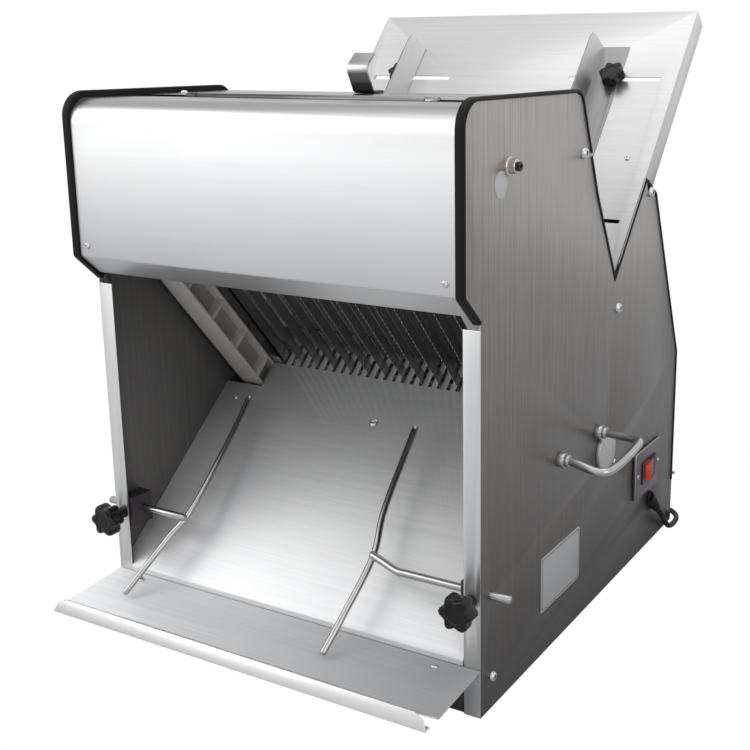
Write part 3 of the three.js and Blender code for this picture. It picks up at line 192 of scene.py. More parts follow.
groups = {"brush": brushGroup(), "fade": fadeGroup(), "tint": tintGroup(), "smudge": smudgeGroup()}


def useGroup(tree, key, **values):
    return addNode(tree, "ShaderNodeGroup", values, node_tree=groups[key])


# A display tone of 0 to 255 as linear light
def shade(value):
    channel = value / 255
    return channel / 12.92 if channel <= 0.04045 else ((channel + 0.055) / 1.055) ** 2.4


def grey(value, warm=0):
    return (shade(value + warm), shade(value), shade(value - warm), 1)


def newPaint(name):
    made = bpy.data.materials.new(name)
    made.use_nodes = True
    return made, made.node_tree, addNode(made.node_tree, "ShaderNodeTexCoord").outputs["Object"]


grainDepth = 0.2 * mm
smudgeSizes = {"metal": 8, "moulded": 40}


# Gives a material its marked colour, its handling marks and its raised grain
def dress(tree, color, brush, place, kind, amount, rough, bump):
    shader = tree.nodes["Principled BSDF"]
    marks = brush.outputs["Marks"]
    tint = useGroup(tree, "tint", Color=color, Marks=marks, Amount=amount)
    smudge = useGroup(tree, "smudge", Vector=place, Size=smudgeSizes[kind], Marks=marks, Low=rough[0],
                      High=rough[1])
    raised = addNode(tree, "ShaderNodeBump", {"Strength": bump, "Distance": grainDepth,
                                              "Height": brush.outputs["Height"]})
    for name, socket in (("Base Color", tint.outputs["Color"]), ("Roughness", smudge.outputs["Roughness"]),
                         ("Normal", raised.outputs["Normal"])):
        tree.links.new(socket, shader.inputs[name])
    return shader


# Metal whose tone changes along a direction, with brushing marks drawn out along the stretch. The change of
# tone along the direction is painted light and shade: lighter where the surface meets the light, darker
# where it lies in shade
def metal(name, tones, direction=(0, 0, 1), start=0.0, end=1.0, stretch=(1, 1, 1), fine=900, marks=0.3,
          metallic=0.9, rough=(0.28, 0.4), bump=0.05, warm=0):
    made, tree, place = newPaint(name)
    brush = useGroup(tree, "brush", Vector=place, Stretch=stretch, Fine=fine)
    fade = useGroup(tree, "fade", Vector=place, Direction=direction, Start=start, End=end)
    ramp = addNode(tree, "ShaderNodeValToRGB", {"Fac": fade.outputs["Fade"]})
    stops = ramp.color_ramp.elements
    for index in (0, -1):
        stops[index].position = tones[index][0]
        stops[index].color = grey(tones[index][1], warm)
    for position, tone in tones[1:-1]:
        stops.new(position).color = grey(tone, warm)
    shader = dress(tree, ramp.outputs["Color"], brush, place, "metal", marks, rough, bump)
    shader.inputs["Metallic"].default_value = metallic
    return made


# Plastic, rubber and paint: one colour with fine mottling and a moulded or grained surface
def moulded(name, color, rough=(0.3, 0.4), grain=2500, bump=0.08, mottle=0.25, coat=0.0, metallic=0.0,
            shine=0.5):
    made, tree, place = newPaint(name)
    brush = useGroup(tree, "brush", Vector=place, Fine=grain)
    shader = dress(tree, color, brush, place, "moulded", mottle, rough, bump)
    for key, value in (("Metallic", metallic), ("Coat Weight", coat), ("Specular IOR Level", shine)):
        shader.inputs[key].default_value = value
    return made


upright = (1, 1, 0.012)
acrossX = (0.012, 1, 1)
downSlope = (1, 0.015, 0.015)
chuteWay = (0, math.cos(chuteSlope["turn"]), math.sin(chuteSlope["turn"]))
infeedWay = (0, math.cos(infeedSlope["turn"]), math.sin(infeedSlope["turn"]))
chuteStart = at(0, chuteSlope["depth"], chuteSlope["height"]).dot(Vector(chuteWay))
infeedStart = at(0, infeedSlope["depth"], infeedSlope["height"]).dot(Vector(infeedWay))

paints = {
    # Side panels: painted shade, darker towards the bottom and lighter towards the top
    "panel": metal("panelSteel", [(0, 74), (0.35, 114), (0.8, 148), (1, 152)], end=0.575, stretch=upright,
                   fine=1500, marks=1.2, rough=(0.3, 0.42), warm=3),
    # Rear cover: painted shade, darker towards the bottom and lighter towards the top
    "back": metal("backSteel", [(0, 98), (0.35, 124), (0.8, 148), (1, 152)], end=0.575, stretch=downSlope,
                  fine=1300, marks=1.5, rough=(0.3, 0.42), warm=2),
    # Bright sheet steel, also used as painted highlight: the panels' lit front faces and the tray's lip get
    # this lighter copy of the steel
    "flange": metal("brightAndLitSteel", [(0, 205), (1, 225)], end=0.4, stretch=upright, marks=0.12),
    # Hood: painted light and shade, a bright band across the front, darker towards its foot, and a dark band
    # where it rounds over to the top
    "hood": metal("hoodSteel", [(0, 186), (0.35, 222), (0.75, 248), (0.93, 240), (0.965, 158), (1, 140)],
                  start=0.39, end=0.57, stretch=acrossX, marks=0.09, rough=(0.3, 0.42)),
    # Roof strips and hold-down flap: painted shade and painted reflection, dark at the left and light at the
    # right
    "roof": metal("roofSteel", [(0, 52), (0.42, 70), (0.62, 118), (1, 150)], direction=(1, 0, 0),
                  start=-0.217, end=0.217, stretch=acrossX, marks=0.1, rough=(0.2, 0.3)),
    # Strap handle: painted shade on its lower part and a painted highlight on its bend
    "strap": metal("strapSteel", [(0, 84), (0.25, 96), (0.34, 168), (0.68, 188), (0.8, 140), (1, 150)],
                   start=0.571, end=0.612, stretch=acrossX, marks=0.12),
    # Infeed plate: painted shade, darker towards its lower end and lighter up the slope
    "infeed": metal("infeedSteel", [(0, 146), (0.4, 178), (1, 206)], direction=infeedWay, start=infeedStart,
                    end=infeedStart + 0.384, stretch=acrossX, marks=0.35),
    # Loaf guides: painted light, lighter up the slope; their faces that don't look sideways get the darker
    # copy below, which is painted shade
    "guide": metal("guideSteel", [(0, 176), (1, 222)], direction=infeedWay, start=infeedStart,
                   end=infeedStart + 0.325, stretch=downSlope, marks=0.2),
    "guideShade": metal("guideShadeSteel", [(0, 108), (1, 140)], direction=infeedWay, start=infeedStart,
                       end=infeedStart + 0.325, stretch=downSlope, marks=0.2),
    # Chute floor: painted shade, darker towards the blades
    "chute": metal("chuteSteel", [(0, 222), (0.5, 206), (0.85, 160), (1, 120)], direction=chuteWay,
                   start=chuteStart, end=chuteStart + 0.33, stretch=acrossX, marks=0.4, metallic=0.45,
                   rough=(0.4, 0.52)),
    # Outfeed tray: painted light, bright at the left and darker towards the right
    "tray": metal("traySteel", [(0, 250), (0.45, 222), (1, 160)], direction=(1, 0, 0), start=-0.2285,
                  end=0.2285, stretch=acrossX, marks=0.5, metallic=0.1, rough=(0.42, 0.55)),
    # Dark plate tone, which also stands for the shade under the tray on the drawer, front beam and base:
    # painted shade, darker towards the bottom
    "dark": metal("darkPlateAndShade", [(0, 60), (1, 74)], end=0.5, stretch=upright, marks=0.4, metallic=0.5,
                  rough=(0.4, 0.55), warm=2),
    "wall": metal("wallSteel", [(0, 84), (0.6, 98), (1, 80)], end=0.5, stretch=upright, fine=1300, marks=0.9,
                  metallic=0.4, rough=(0.35, 0.5), warm=2),
    "cast": metal("castRail", [(0, 176), (1, 190)], end=0.5, fine=700, marks=0.5, metallic=0.2,
                  rough=(0.45, 0.6), bump=0.35, warm=6),
    # Darker copy of the cast rail for the floors of its pockets: painted shade in the recesses
    "pocketShade": metal("castPocketShade", [(0, 134), (1, 148)], end=0.5, fine=700, marks=0.5, metallic=0.2,
                    rough=(0.5, 0.65), bump=0.35, warm=5),
    "blade": metal("bladeSteel", [(0, 178), (1, 208)], end=0.5, stretch=upright, rough=(0.18, 0.3)),
    "bright": metal("turnedSteel", [(0, 168), (1, 182)], end=0.6, fine=500, rough=(0.14, 0.26),
                    metallic=1.0),
    "fastener": metal("screwSteel", [(0, 196), (1, 210)], end=0.6, fine=1500, marks=0.2, rough=(0.2, 0.32)),
    "collar": metal("collarSteel", [(0, 176), (1, 190)], end=0.6, fine=1500, marks=0.2, rough=(0.18, 0.3),
                    warm=9),
    "knob": moulded("knobPlastic", grey(14), rough=(0.2, 0.3), bump=0.03, shine=0.3),
    "plastic": moulded("dullPlastic", (shade(44), shade(38), shade(44), 1), rough=(0.35, 0.5)),
    "rubber": moulded("edgeRubber", grey(20, 1), rough=(0.5, 0.65), bump=0.12, shine=0.15),
    "cord": moulded("cordSheath", grey(18, 1), rough=(0.42, 0.55), bump=0.06, shine=0.2),
    "red": moulded("rockerRed", (shade(217), shade(58), shade(28), 1), rough=(0.2, 0.3), coat=0.2,
                   mottle=0.1, bump=0.02),
    "motor": moulded("motorPaint", (shade(74), shade(80), shade(88), 1), rough=(0.4, 0.5), grain=900,
                     bump=0.2),
    "label": moulded("blankLabel", grey(176), rough=(0.4, 0.5), mottle=0.1, bump=0.02),
    "plate": moulded("blankPlate", grey(164), rough=(0.35, 0.45), mottle=0.05, bump=0.02, metallic=0.3),
    "line": moulded("plateBorder", grey(96), rough=(0.4, 0.5), bump=0.02),
    "cap": metal("capSteel", [(0, 184), (1, 190)], end=0.6, fine=1200, marks=0.1, rough=(0.3, 0.4)),
    "switch": moulded("switchPlate", (shade(78), shade(66), shade(78), 1), rough=(0.3, 0.42)),
    # Darker red for the rocker's flat half: painted shade
    "redShade": moulded("rockerShade", (shade(96), shade(22), shade(26), 1), rough=(0.25, 0.35), bump=0.02),
    "cable": moulded("socketBlack", grey(18), rough=(0.35, 0.5), bump=0.05),
}
print("materials made:", len(paints))


# Meshes
def fromBmesh(name, work, smoothAngle=35):
    mesh = bpy.data.meshes.new(name)
    bmesh.ops.recalc_face_normals(work, faces=work.faces)
    work.to_mesh(mesh)
    work.free()
    made = bpy.data.objects.new(name, mesh)
    scene.collection.objects.link(made)
    mesh.shade_smooth()
    mesh.set_sharp_from_angle(angle=math.radians(smoothAngle))
    return made


def applyModifiers(piece, smoothAngle):
    bpy.context.view_layer.update()
    mesh = bpy.data.meshes.new_from_object(piece.evaluated_get(bpy.context.evaluated_depsgraph_get()))
    piece.modifiers.clear()
    piece.data = mesh
    mesh.shade_smooth()
    mesh.set_sharp_from_angle(angle=math.radians(smoothAngle))


covered = set()


def finished(piece, paint, body, replaced=()):
    covered.update(replaced)
    piece.data.materials.clear()
    piece.data.materials.append(paints[paint])
    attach(piece, body)
    if replaced:
        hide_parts(*replaced)
    return piece


def bodyOf(node):
    return next(name for name, nodes in frame["record"]["behaviour"]["bodies"].items() if node in nodes)


def slotOf(node):
    return next(row["material_slot"] for row in frame["record"]["subparts"] if row["node"] == node)


def show(name, work, paint, replaced=(), smoothAngle=35, body="housing"):
    return finished(fromBmesh(name, work, smoothAngle), paint, body, replaced)


# A given piece in place of one of the model's nodes
def standIn(node, ending, work, paint):
    return show(node + ending, work, paint, [node], 40, bodyOf(node))


# The model's mesh of a piece with its edges rounded, so that they catch the light
easeSet = {"segments": 2, "angle": 32, "flat": 0.4, "weld": 0.004}


def eased(node, paint, width):
    work = bmesh.new()
    work.from_mesh(frame["nodes"][node].data)
    bmesh.ops.remove_doubles(work, verts=work.verts, dist=easeSet["weld"] * mm)
    bmesh.ops.dissolve_limit(work, angle_limit=math.radians(easeSet["flat"]), verts=work.verts,
                             edges=work.edges)
    piece = fromBmesh(node + "_fine", work, easeSet["angle"])
    ease = piece.modifiers.new("ease", "BEVEL")
    ease.width = width * mm
    ease.segments = easeSet["segments"]
    ease.limit_method = "ANGLE"
    ease.angle_limit = math.radians(easeSet["angle"])
    ease.use_clamp_overlap = True
    ease.harden_normals = False
    applyModifiers(piece, easeSet["angle"])
    return finished(piece, paint, bodyOf(node), [node])


def ring(centre, across, over, outline):
    return [centre + across * u + over * v for u, v in outline]


# Joins rings of points, and closes both ends unless the last ring meets the first
def skinRings(work, places, closed=False):
    rings = [[work.verts.new(place) for place in row] for row in places]
    count = len(rings[0])
    pairs = list(zip(rings, rings[1:]))
    if closed:
        pairs.append((rings[-1], rings[0]))
    for first, second in pairs:
        for side in range(count):
            after = (side + 1) % count
            work.faces.new((first[side], first[after], second[after], second[side]))
    if not closed:
        work.faces.new(rings[0][::-1])
        work.faces.new(rings[-1])


def shell(rings, closed=False):
    work = bmesh.new()
    skinRings(work, rings, closed)
    return work


def circlePoints(radius, count):
    angles = [2 * math.pi * k / count for k in range(count)]
    return [(radius * math.cos(angle), radius * math.sin(angle)) for angle in angles]


def basis(direction):
    way = direction.normalized()
    side = Vector((0, 0, 1)) if abs(way.z) < 0.9 else Vector((1, 0, 0))
    across = side.cross(way).normalized()
    return across, way.cross(across)


# A turned piece: its profile is (radius, distance along the axis) pairs from one end to the other
def turned(work, profile, origin, direction, count=40, wave=None):
    across, over = basis(direction)
    way = direction.normalized()
    rings = []
    for radius, along in profile:
        centre = origin + way * (along * mm)
        if radius <= 0:
            rings.append(work.verts.new(centre))
            continue
        points = []
        for u, v in circlePoints(radius * mm, count):
            swell = 1 if wave is None else wave(math.atan2(v, u), radius)
            points.append(work.verts.new(centre + across * u * swell + over * v * swell))
        rings.append(points)
    for first, second in zip(rings, rings[1:]):
        for side in range(count):
            after = (side + 1) % count
            if not isinstance(first, list):
                work.faces.new((first, second[side], second[after]))
            elif not isinstance(second, list):
                work.faces.new((first[side], first[after], second))
            else:
                work.faces.new((first[side], first[after], second[after], second[side]))


def turnedItem(name, profile, count=40, wave=None, smoothAngle=35):
    work = bmesh.new()
    turned(work, profile, Vector((0, 0, 0)), Vector((0, 0, 1)), count, wave)
    return fromBmesh(name, work, smoothAngle)


# A smooth line through the points, whose parts are timed by the root of their length
def splinePoints(points, steps):
    tiny = 1e-6
    found = []
    for index in range(len(points) - 1):
        p1, p2 = points[index], points[index + 1]
        p0 = points[index - 1] if index else p1 * 2 - p2
        p3 = points[index + 2] if index + 2 < len(points) else p2 * 2 - p1
        t01, t12, t23 = (max((b - a).length, tiny) ** 0.5 for a, b in ((p0, p1), (p1, p2), (p2, p3)))
        m1 = ((p1 - p0) / t01 - (p2 - p0) / (t01 + t12) + (p2 - p1) / t12) * t12
        m2 = ((p2 - p1) / t12 - (p3 - p1) / (t12 + t23) + (p3 - p2) / t23) * t12
        for step in range(steps):
            t = step / steps
            found.append(p1 * (2 * t**3 - 3 * t**2 + 1) + m1 * (t**3 - 2 * t**2 + t)
                         + p2 * (3 * t**2 - 2 * t**3) + m2 * (t**3 - t**2))
    return found + [points[-1]]


# A bar of even thickness along a line. Each end's rings are given as shares of the radius: the ring's own
# radius and how far past the end it stands
barEnds = ((0.45, 0.47), (0.8, 0.3))


def barAlong(work, line, radius, count, roundEnds=True):
    ways = [(line[min(k + 1, len(line) - 1)] - line[max(k - 1, 0)]).normalized() for k in range(len(line))]
    across, over = basis(ways[0])
    ends = barEnds if roundEnds else ()
    rings = []
    for share, past in ends:
        rings.append(ring(line[0] - ways[0] * radius * mm * past, across, over,
                          circlePoints(radius * share * mm, count)))
    for centre, way in zip(line, ways):
        across = (across - way * across.dot(way)).normalized()
        over = way.cross(across)
        rings.append(ring(centre, across, over, circlePoints(radius * mm, count)))
    for share, past in reversed(ends):
        rings.append(ring(line[-1] + ways[-1] * radius * mm * past, across, over,
                          circlePoints(radius * share * mm, count)))
    skinRings(work, rings)


def mitred(points, distance):
    found = []
    for index, point in enumerate(points):
        before = Vector(points[max(index - 1, 0)])
        after = Vector(points[min(index + 1, len(points) - 1)])
        here = Vector(point)
        a = (here - before).normalized() if index else (after - here).normalized()
        b = (after - here).normalized() if index + 1 < len(points) else a
        normal = Vector((-a.y - b.y, a.x + b.x)).normalized()
        reach = distance / max(normal.dot(Vector((-a.y, a.x))), 0.5)
        found.append((here.x + normal.x * reach, here.y + normal.y * reach))
    return found


# A moulding along a side outline: its section is (x, offset outwards) pairs
def moulding(path, section):
    lines = [[(x, *point) for point in mitred(path, offset)] for x, offset in section]
    return shell([[at(*line[index]) for line in lines] for index in range(len(path))])


def roundedSection(x0, x1, low, high, corner, steps=4):
    points = []
    for centreX, centreY, turn in ((x1 - corner, high - corner, 0), (x0 + corner, high - corner, 90),
                                   (x0 + corner, low + corner, 180), (x1 - corner, low + corner, 270)):
        for step in range(steps + 1):
            angle = math.radians(turn + 90 * step / steps)
            points.append((centreX + corner * math.cos(angle), centreY + corner * math.sin(angle)))
    return points


# Mains lead: the sleeve it leaves by, its free stretch, the coil of the rest, its tie and the plug
cordSet = {"radius": 3.5, "inner": 27.2, "step": 7.7, "layer": 7.7, "turns": 3, "climb": 0.5, "seat": 0.1,
           "x": 80, "y": 621.3, "steps": 36}
cordRoute = [
    (234.3, 466.5, 45.1), (235.9, 471.7, 39.2), (237.2, 477.6, 32.6), (237.4, 483.7, 26),
    (237.4, 489.9, 19.4), (237.4, 496.5, 13.3), (237.4, 503.9, 8.4), (237.4, 512.4, 5.2),
    (237.4, 521.3, 3.9), (237.1, 530.3, 3.6), (235.8, 540.2, 3.6), (232.7, 549.6, 3.6), (227.2, 558, 3.6),
    (219.6, 564.4, 3.6), (210.4, 568.4, 3.6), (200.6, 570.3, 3.6), (188.7, 571, 3.6), (176.7, 571, 3.6),
    (148.7, 571, 3.6), (120.7, 571, 3.6), (87.4, 571, 3.6),
]


# The coil winds inwards on the floor, climbs one layer and winds outwards again
def coilPoint(turn):
    climb = cordSet["climb"]
    outer = cordSet["inner"] + cordSet["turns"] * cordSet["step"]
    turnBack = cordSet["turns"] + climb / 2
    inwards = min(turn, turnBack) - max(turn - turnBack, 0)
    radius = outer - cordSet["step"] * inwards
    share = min(max((turn - cordSet["turns"]) / climb, 0), 1)
    height = cordSet["radius"] + cordSet["seat"] + cordSet["layer"] * share * share * (3 - 2 * share)
    angle = 2 * math.pi * turn
    return at(cordSet["x"] - radius * math.sin(angle), cordSet["y"] - radius * math.cos(angle), height)


glandSet = {"place": (228.8, 449.5, 64.5), "lean": 12, "fall": 48.7, "radius": 8, "tip": 5, "length": 26,
            "root": -3, "plain": 5, "ribs": 5, "ribStart": 6, "ribStep": 3.8, "groove": 0.9,
            "flange": [(0, 0), (9.4, 0), (9.4, 1.9), (8.5, 3), (0, 3)]}


def makeGland():
    size = glandSet
    lean, fall = math.radians(size["lean"]), math.radians(size["fall"])
    way = Vector((math.sin(lean), math.cos(lean) * math.cos(fall), -math.cos(lean) * math.sin(fall)))
    base = at(*size["place"])
    work = bmesh.new()
    profile = [(0, size["root"]), (size["radius"], size["root"]), (size["radius"], size["plain"])]
    for rib in range(size["ribs"]):
        near = size["ribStart"] + rib * size["ribStep"]
        radius = size["radius"] + (size["tip"] - size["radius"]) * near / size["length"]
        low = radius - size["groove"]
        profile += [(low, near), (low, near + 0.9), (radius, near + 1.2), (radius - 0.3, near + 3.5)]
    profile += [(size["tip"] - 0.2, size["length"] - 0.4), (size["tip"] - size["groove"], size["length"]),
                (0, size["length"])]
    turned(work, profile, base, way, 32)
    cut = bmesh.ops.bisect_plane(work, geom=work.verts[:] + work.edges[:] + work.faces[:], plane_co=base,
                                 plane_no=(1, 0, 0), clear_inner=True)
    edges = [item for item in cut["geom_cut"] if isinstance(item, bmesh.types.BMEdge)]
    bmesh.ops.triangle_fill(work, edges=edges, use_beauty=True)
    turned(work, size["flange"], base, right, 40)
    return show("cord_gland_sleeve", work, "cord", ["cord_gland"])


tieSet = {"angle": 200, "height": 7.45, "half": 15.9, "low": -7.4, "high": 8, "corner": 3.4,
          "thickness": 0.7, "innerHalf": 2, "outerHalf": 1.7}


def makeTie():
    size = tieSet
    angle = math.radians(size["angle"])
    out = Vector((math.cos(angle), math.sin(angle), 0))
    along = Vector((-out.y, out.x, 0))
    middle = cordSet["inner"] + cordSet["turns"] * cordSet["step"] / 2
    centre = at(cordSet["x"], cordSet["y"], size["height"]) + out * (middle * mm)
    nearWay, farWay = along * (size["innerHalf"] * mm), along * (size["outerHalf"] * mm)
    rings = []
    for u, v in roundedSection(-size["half"], size["half"], size["low"], size["high"], size["corner"], 5):
        grow = 1 + size["thickness"] / max(math.hypot(u, v), 1)
        inner = centre + out * (u * mm) + Vector((0, 0, v * mm))
        outer = centre + out * (u * grow * mm) + Vector((0, 0, (v * grow if v > 0 else v) * mm))
        rings.append([inner - nearWay, outer - farWay, outer + farWay, inner + nearWay])
    return show("cord_tie", shell(rings, closed=True), "cable")


def makeCord():
    route = splinePoints([at(*point) for point in cordRoute], 6)
    turns = 2 * cordSet["turns"] + 0.5
    count = round(turns * cordSet["steps"])
    wound = [coilPoint(turns * k / count) for k in range(count + 1)]
    thickness = 2 * cordSet["radius"] * mm
    nudge = 0.001
    endWay = (coilPoint(turns) - coilPoint(turns - nudge)).normalized()
    line = route + wound[1:] + [wound[-1] + endWay * thickness]
    work = bmesh.new()
    barAlong(work, line, cordSet["radius"], count=12, roundEnds=False)
    cord = show("mains_cord", work, "cord", ["cord_run", "cord_coil"])
    pieces = [*makePlug(line[-1], endWay), makeGland()]
    makeTie()


plugSet = {"neckLength": 36, "neckRadius": 6, "ribs": 7, "length": 44, "width": 30, "thickness": 24,
           "corner": 6, "pinRadius": 2.4, "pinLength": 19, "pinSpacing": 19, "gap": 0.3, "seat": 0.1}


def makePlug(start, way):
    size = plugSet
    side = Vector((0, 0, 1)).cross(way).normalized()
    up = Vector((0, 0, 1))
    work = bmesh.new()
    neck = [(0, size["gap"]), (cordSet["radius"] + 0.2, size["gap"])]
    for rib in range(size["ribs"]):
        share = rib / size["ribs"]
        radius = cordSet["radius"] + 0.3 + (size["neckRadius"] - cordSet["radius"]) * share
        near = size["gap"] + 1 + (size["neckLength"] - 2) * share
        neck += [(radius + 0.5, near), (radius + 0.5, near + 3), (radius - 0.2, near + 3.4),
                 (radius - 0.2, near + 4.4)]
    neck += [(size["neckRadius"], size["neckLength"] + 1), (0, size["neckLength"] + 1)]
    turned(work, neck, start, way, 20)
    middle = size["seat"] - start.z / mm + size["thickness"] / 2
    body = []
    shape = [(0, 0.62), (3, 0.8), (10, 0.95), (24, 1), (size["length"] - 2, 1), (size["length"], 0.95)]
    for along, share in shape:
        centre = start + way * ((size["neckLength"] + along) * mm) + up * (middle * mm)
        halfWide = size["width"] / 2 * share
        halfTall = size["thickness"] / 2 * (0.75 + 0.25 * share)
        outline = roundedSection(-halfWide, halfWide, -halfTall, halfTall, size["corner"] * share)
        body.append(ring(centre, side * mm, up * mm, outline))
    skinRings(work, body)
    plug = show("mains_plug_body", work, "plastic", ["mains_plug"])
    pins = bmesh.new()
    radius, length = size["pinRadius"], size["pinLength"]
    pin = [(0, 0), (radius, 0), (radius, length - 1.5), (radius * 0.6, length - 0.2), (0, length + 0.4)]
    for offset in (-1, 1):
        foot = start + way * ((size["neckLength"] + size["length"] - 0.5) * mm)
        foot += side * (offset * size["pinSpacing"] / 2 * mm)
        turned(pins, pin, foot, way, 20)
    return [plug, show("mains_plug_pins", pins, "bright")]


makeCord()


# Small things that repeat: one item set on many places by Geometry Nodes
placeKinds = {"facing": "FLOAT_VECTOR", "spin": "FLOAT", "size": "FLOAT"}


def placesGroup():
    tree, given = newGroup("setOnPlaces", [("Geometry", "Geometry"), ("Item", "Object"),
                                           ("Paint", "Material")], [("Geometry", "Geometry")], "Geometry")
    found = {name: addNode(tree, "GeometryNodeInputNamedAttribute", {"Name": name}, data_type=kind)
             for name, kind in placeKinds.items()}
    facing, spin, size = (node.outputs["Attribute"] for node in found.values())
    info = addNode(tree, "GeometryNodeObjectInfo", {"Object": given["Item"]})
    align = addNode(tree, "FunctionNodeAlignRotationToVector", {"Vector": facing}, axis="Z")
    turn = addNode(tree, "FunctionNodeAxisAngleToRotation", {"Angle": spin})
    both = addNode(tree, "FunctionNodeRotateRotation", {
        "Rotation": align.outputs[0], "Rotate By": turn.outputs[0]}, rotation_space="LOCAL")
    instances = addNode(tree, "GeometryNodeInstanceOnPoints", {
        "Points": given["Geometry"], "Instance": info.outputs["Geometry"],
        "Rotation": both.outputs[0], "Scale": size})
    real = addNode(tree, "GeometryNodeRealizeInstances", {"Geometry": instances.outputs["Instances"]})
    painted = addNode(tree, "GeometryNodeSetMaterial", {"Geometry": real.outputs["Geometry"],
                                                        "Material": given["Paint"]})
    addNode(tree, "NodeGroupOutput", {"Geometry": painted.outputs["Geometry"]})
    return tree


placesTree = placesGroup()


# Each place is (position, facing, spin, size)
def setOnPlaces(name, item, places, paint, replaced=(), smoothAngle=35, body="housing"):
    mesh = bpy.data.meshes.new(name)
    mesh.from_pydata([tuple(place[0]) for place in places], [], [])
    for column, (key, kind) in enumerate(placeKinds.items(), 1):
        layer = mesh.attributes.new(key, kind, "POINT")
        for index, place in enumerate(places):
            if key == "facing":
                layer.data[index].vector = Vector(place[column]).normalized()
            else:
                layer.data[index].value = place[column]
    piece = bpy.data.objects.new(name, mesh)
    scene.collection.objects.link(piece)
    modifier = piece.modifiers.new("places", "NODES")
    modifier.node_group = placesTree
    sockets = {row.name: row.identifier for row in placesTree.interface.items_tree if row.in_out == "INPUT"}
    modifier[sockets["Item"]] = item
    modifier[sockets["Paint"]] = paints[paint]
    applyModifiers(piece, smoothAngle)
    bpy.data.objects.remove(item)
    return finished(piece, paint, body, replaced)


def hexWave(limit):
    def wave(angle, radius):
        if radius > limit:
            return 1
        share = (angle % (math.pi / 3)) - math.pi / 6
        return math.cos(math.pi / 6) / math.cos(share)
    return wave


# A dome head with a six-sided socket
def domeHead(radius, height, socket=0.46):
    hole = radius * socket
    profile = [(0, height * 0.35), (hole, height * 0.35), (hole, height * 0.95), (hole * 1.12, height)]
    profile += [(radius * wide, height * tall) for wide, tall in ((0.66, 0.94), (0.86, 0.68), (0.97, 0.32))]
    profile += [(radius, 0.12), (radius * 0.98, 0), (0, 0)]
    return turnedItem("domeHead", profile, 36, hexWave(hole * 1.01), 40)


def setDomes(name, size, places, paint="fastener", body="housing"):
    setOnPlaces(name, domeHead(size["radius"], size["height"]), places, paint, body=body)


# Bolts on both panels as (depth, height, size), the screws, and the collared hinge screws
boltSet = {"x": 228.5, "radius": 6, "height": 4.2, "spin": 0.4,
           "places": ((218, 514, 1), (323, 335, 1), (417, 454, 1), (23, 36, 0.85), (324, 154, 0.55),
                      (319, 157, 0.5))}
screwSet = {"radius": 3.4, "height": 1.9}
switchScrews = {"radius": 3, "height": 1.6, "x": 232.8, "depths": (396, 466), "z": 110.5}
hingeSet = {"x": 228.5, "y": 50, "z": 516,
            "collar": [(0, 0), (8.5, 0), (8.5, 2.4), (7.8, 3.2), (7, 3.4), (6.6, 9), (6, 9.6), (4.4, 9.8),
                       (4.2, 9.2), (0, 9.2)],
            "socket": [(0, 9.3), (2.2, 9.3), (2.2, 12.6), (2.6, 13.2), (3.6, 13.2), (4.2, 12.6), (4.2, 9.3),
                       (0, 9.25)]}


def makeFasteners():
    size = boltSet
    bolts = [(at(side * size["x"], y, z), (side, 0, 0), size["spin"] * y, scale)
             for side in (-1, 1) for y, z, scale in size["places"]]
    setDomes("panel_bolts", size, bolts)
    small = []
    for side in (-1, 1):
        small += [(at(side * 210, -29, 423), (0, -1, 0), 0.3, 1),
                  (at(side * 186, -12, 52.1), (0, -0.08, 1), 0.2, 1.15),
                  (onSlope(chuteSlope, side * 198, 229, 0), slopeNormal(chuteSlope), 0.5, 0.9),
                  (at(side * 205, 121, 571), (0, 0, 1), 0.1, 1.2),
                  (at(side * 205, 521, 30), (0, 1, 0), 0.1, 1),
                  (at(side * 205, 535.2, 190), (0, 1, 0), 0.1, 1)]
    small += [(onSlope(infeedSlope, 197, 157, 0), slopeNormal(infeedSlope), 0.9, 1),
              (onSlope(chuteSlope, 1, 228, 0), slopeNormal(chuteSlope), 0.4, 1.6)]
    setDomes("sheet_screws", screwSet, small)
    size = switchScrews
    plate = [(at(size["x"], y, size["z"]), (1, 0, 0), y, 1) for y in size["depths"]]
    setDomes("switch_screws", size, plate, "bright")
    size = hingeSet
    places = [(at(side * size["x"], size["y"], size["z"]), (side, 0, 0), 0, 1) for side in (-1, 1)]
    setOnPlaces("hinge_collars", turnedItem("collar", size["collar"]), places, "collar")
    socket = turnedItem("socket", size["socket"], 36, hexWave(2.3))
    setOnPlaces("hinge_sockets", socket, places, "cable")


makeFasteners()
print("fasteners set")


# Rounds the corners of a side path given as (y, z) points, with one radius for each inner point
def bent(points, radii, steps=6):
    found = [tuple(points[0])]
    for index in range(1, len(points) - 1):
        here, before, after = Vector(points[index]), Vector(points[index - 1]), Vector(points[index + 1])
        a, b = (before - here).normalized(), (after - here).normalized()
        radius = radii[index - 1]
        if radius <= 0:
            found.append(tuple(here))
            continue
        half = a.angle(b) / 2
        reach = radius / math.tan(half)
        centre = here + (a + b).normalized() * (radius / math.sin(half))
        first, last = here + a * reach - centre, here + b * reach - centre
        for step in range(steps + 1):
            share = step / steps
            spoke = (first * (1 - share) + last * share).normalized() * radius
            found.append(tuple(centre + spoke))
    return found + [tuple(points[-1])]


def foldedSheet(name, path, section, paint, replaced=(), mirror=False):
    work = moulding(path, section)
    if mirror:
        bmesh.ops.scale(work, vec=(-1, 1, 1), verts=work.verts)
    return show(name, work, paint, replaced, 40)


def paintFaces(piece, paint, test):
    mesh = piece.data
    mesh.materials.append(paints[paint])
    slot = len(mesh.materials) - 1
    for face in mesh.polygons:
        if test(face.center, face.normal):
            face.material_index = slot


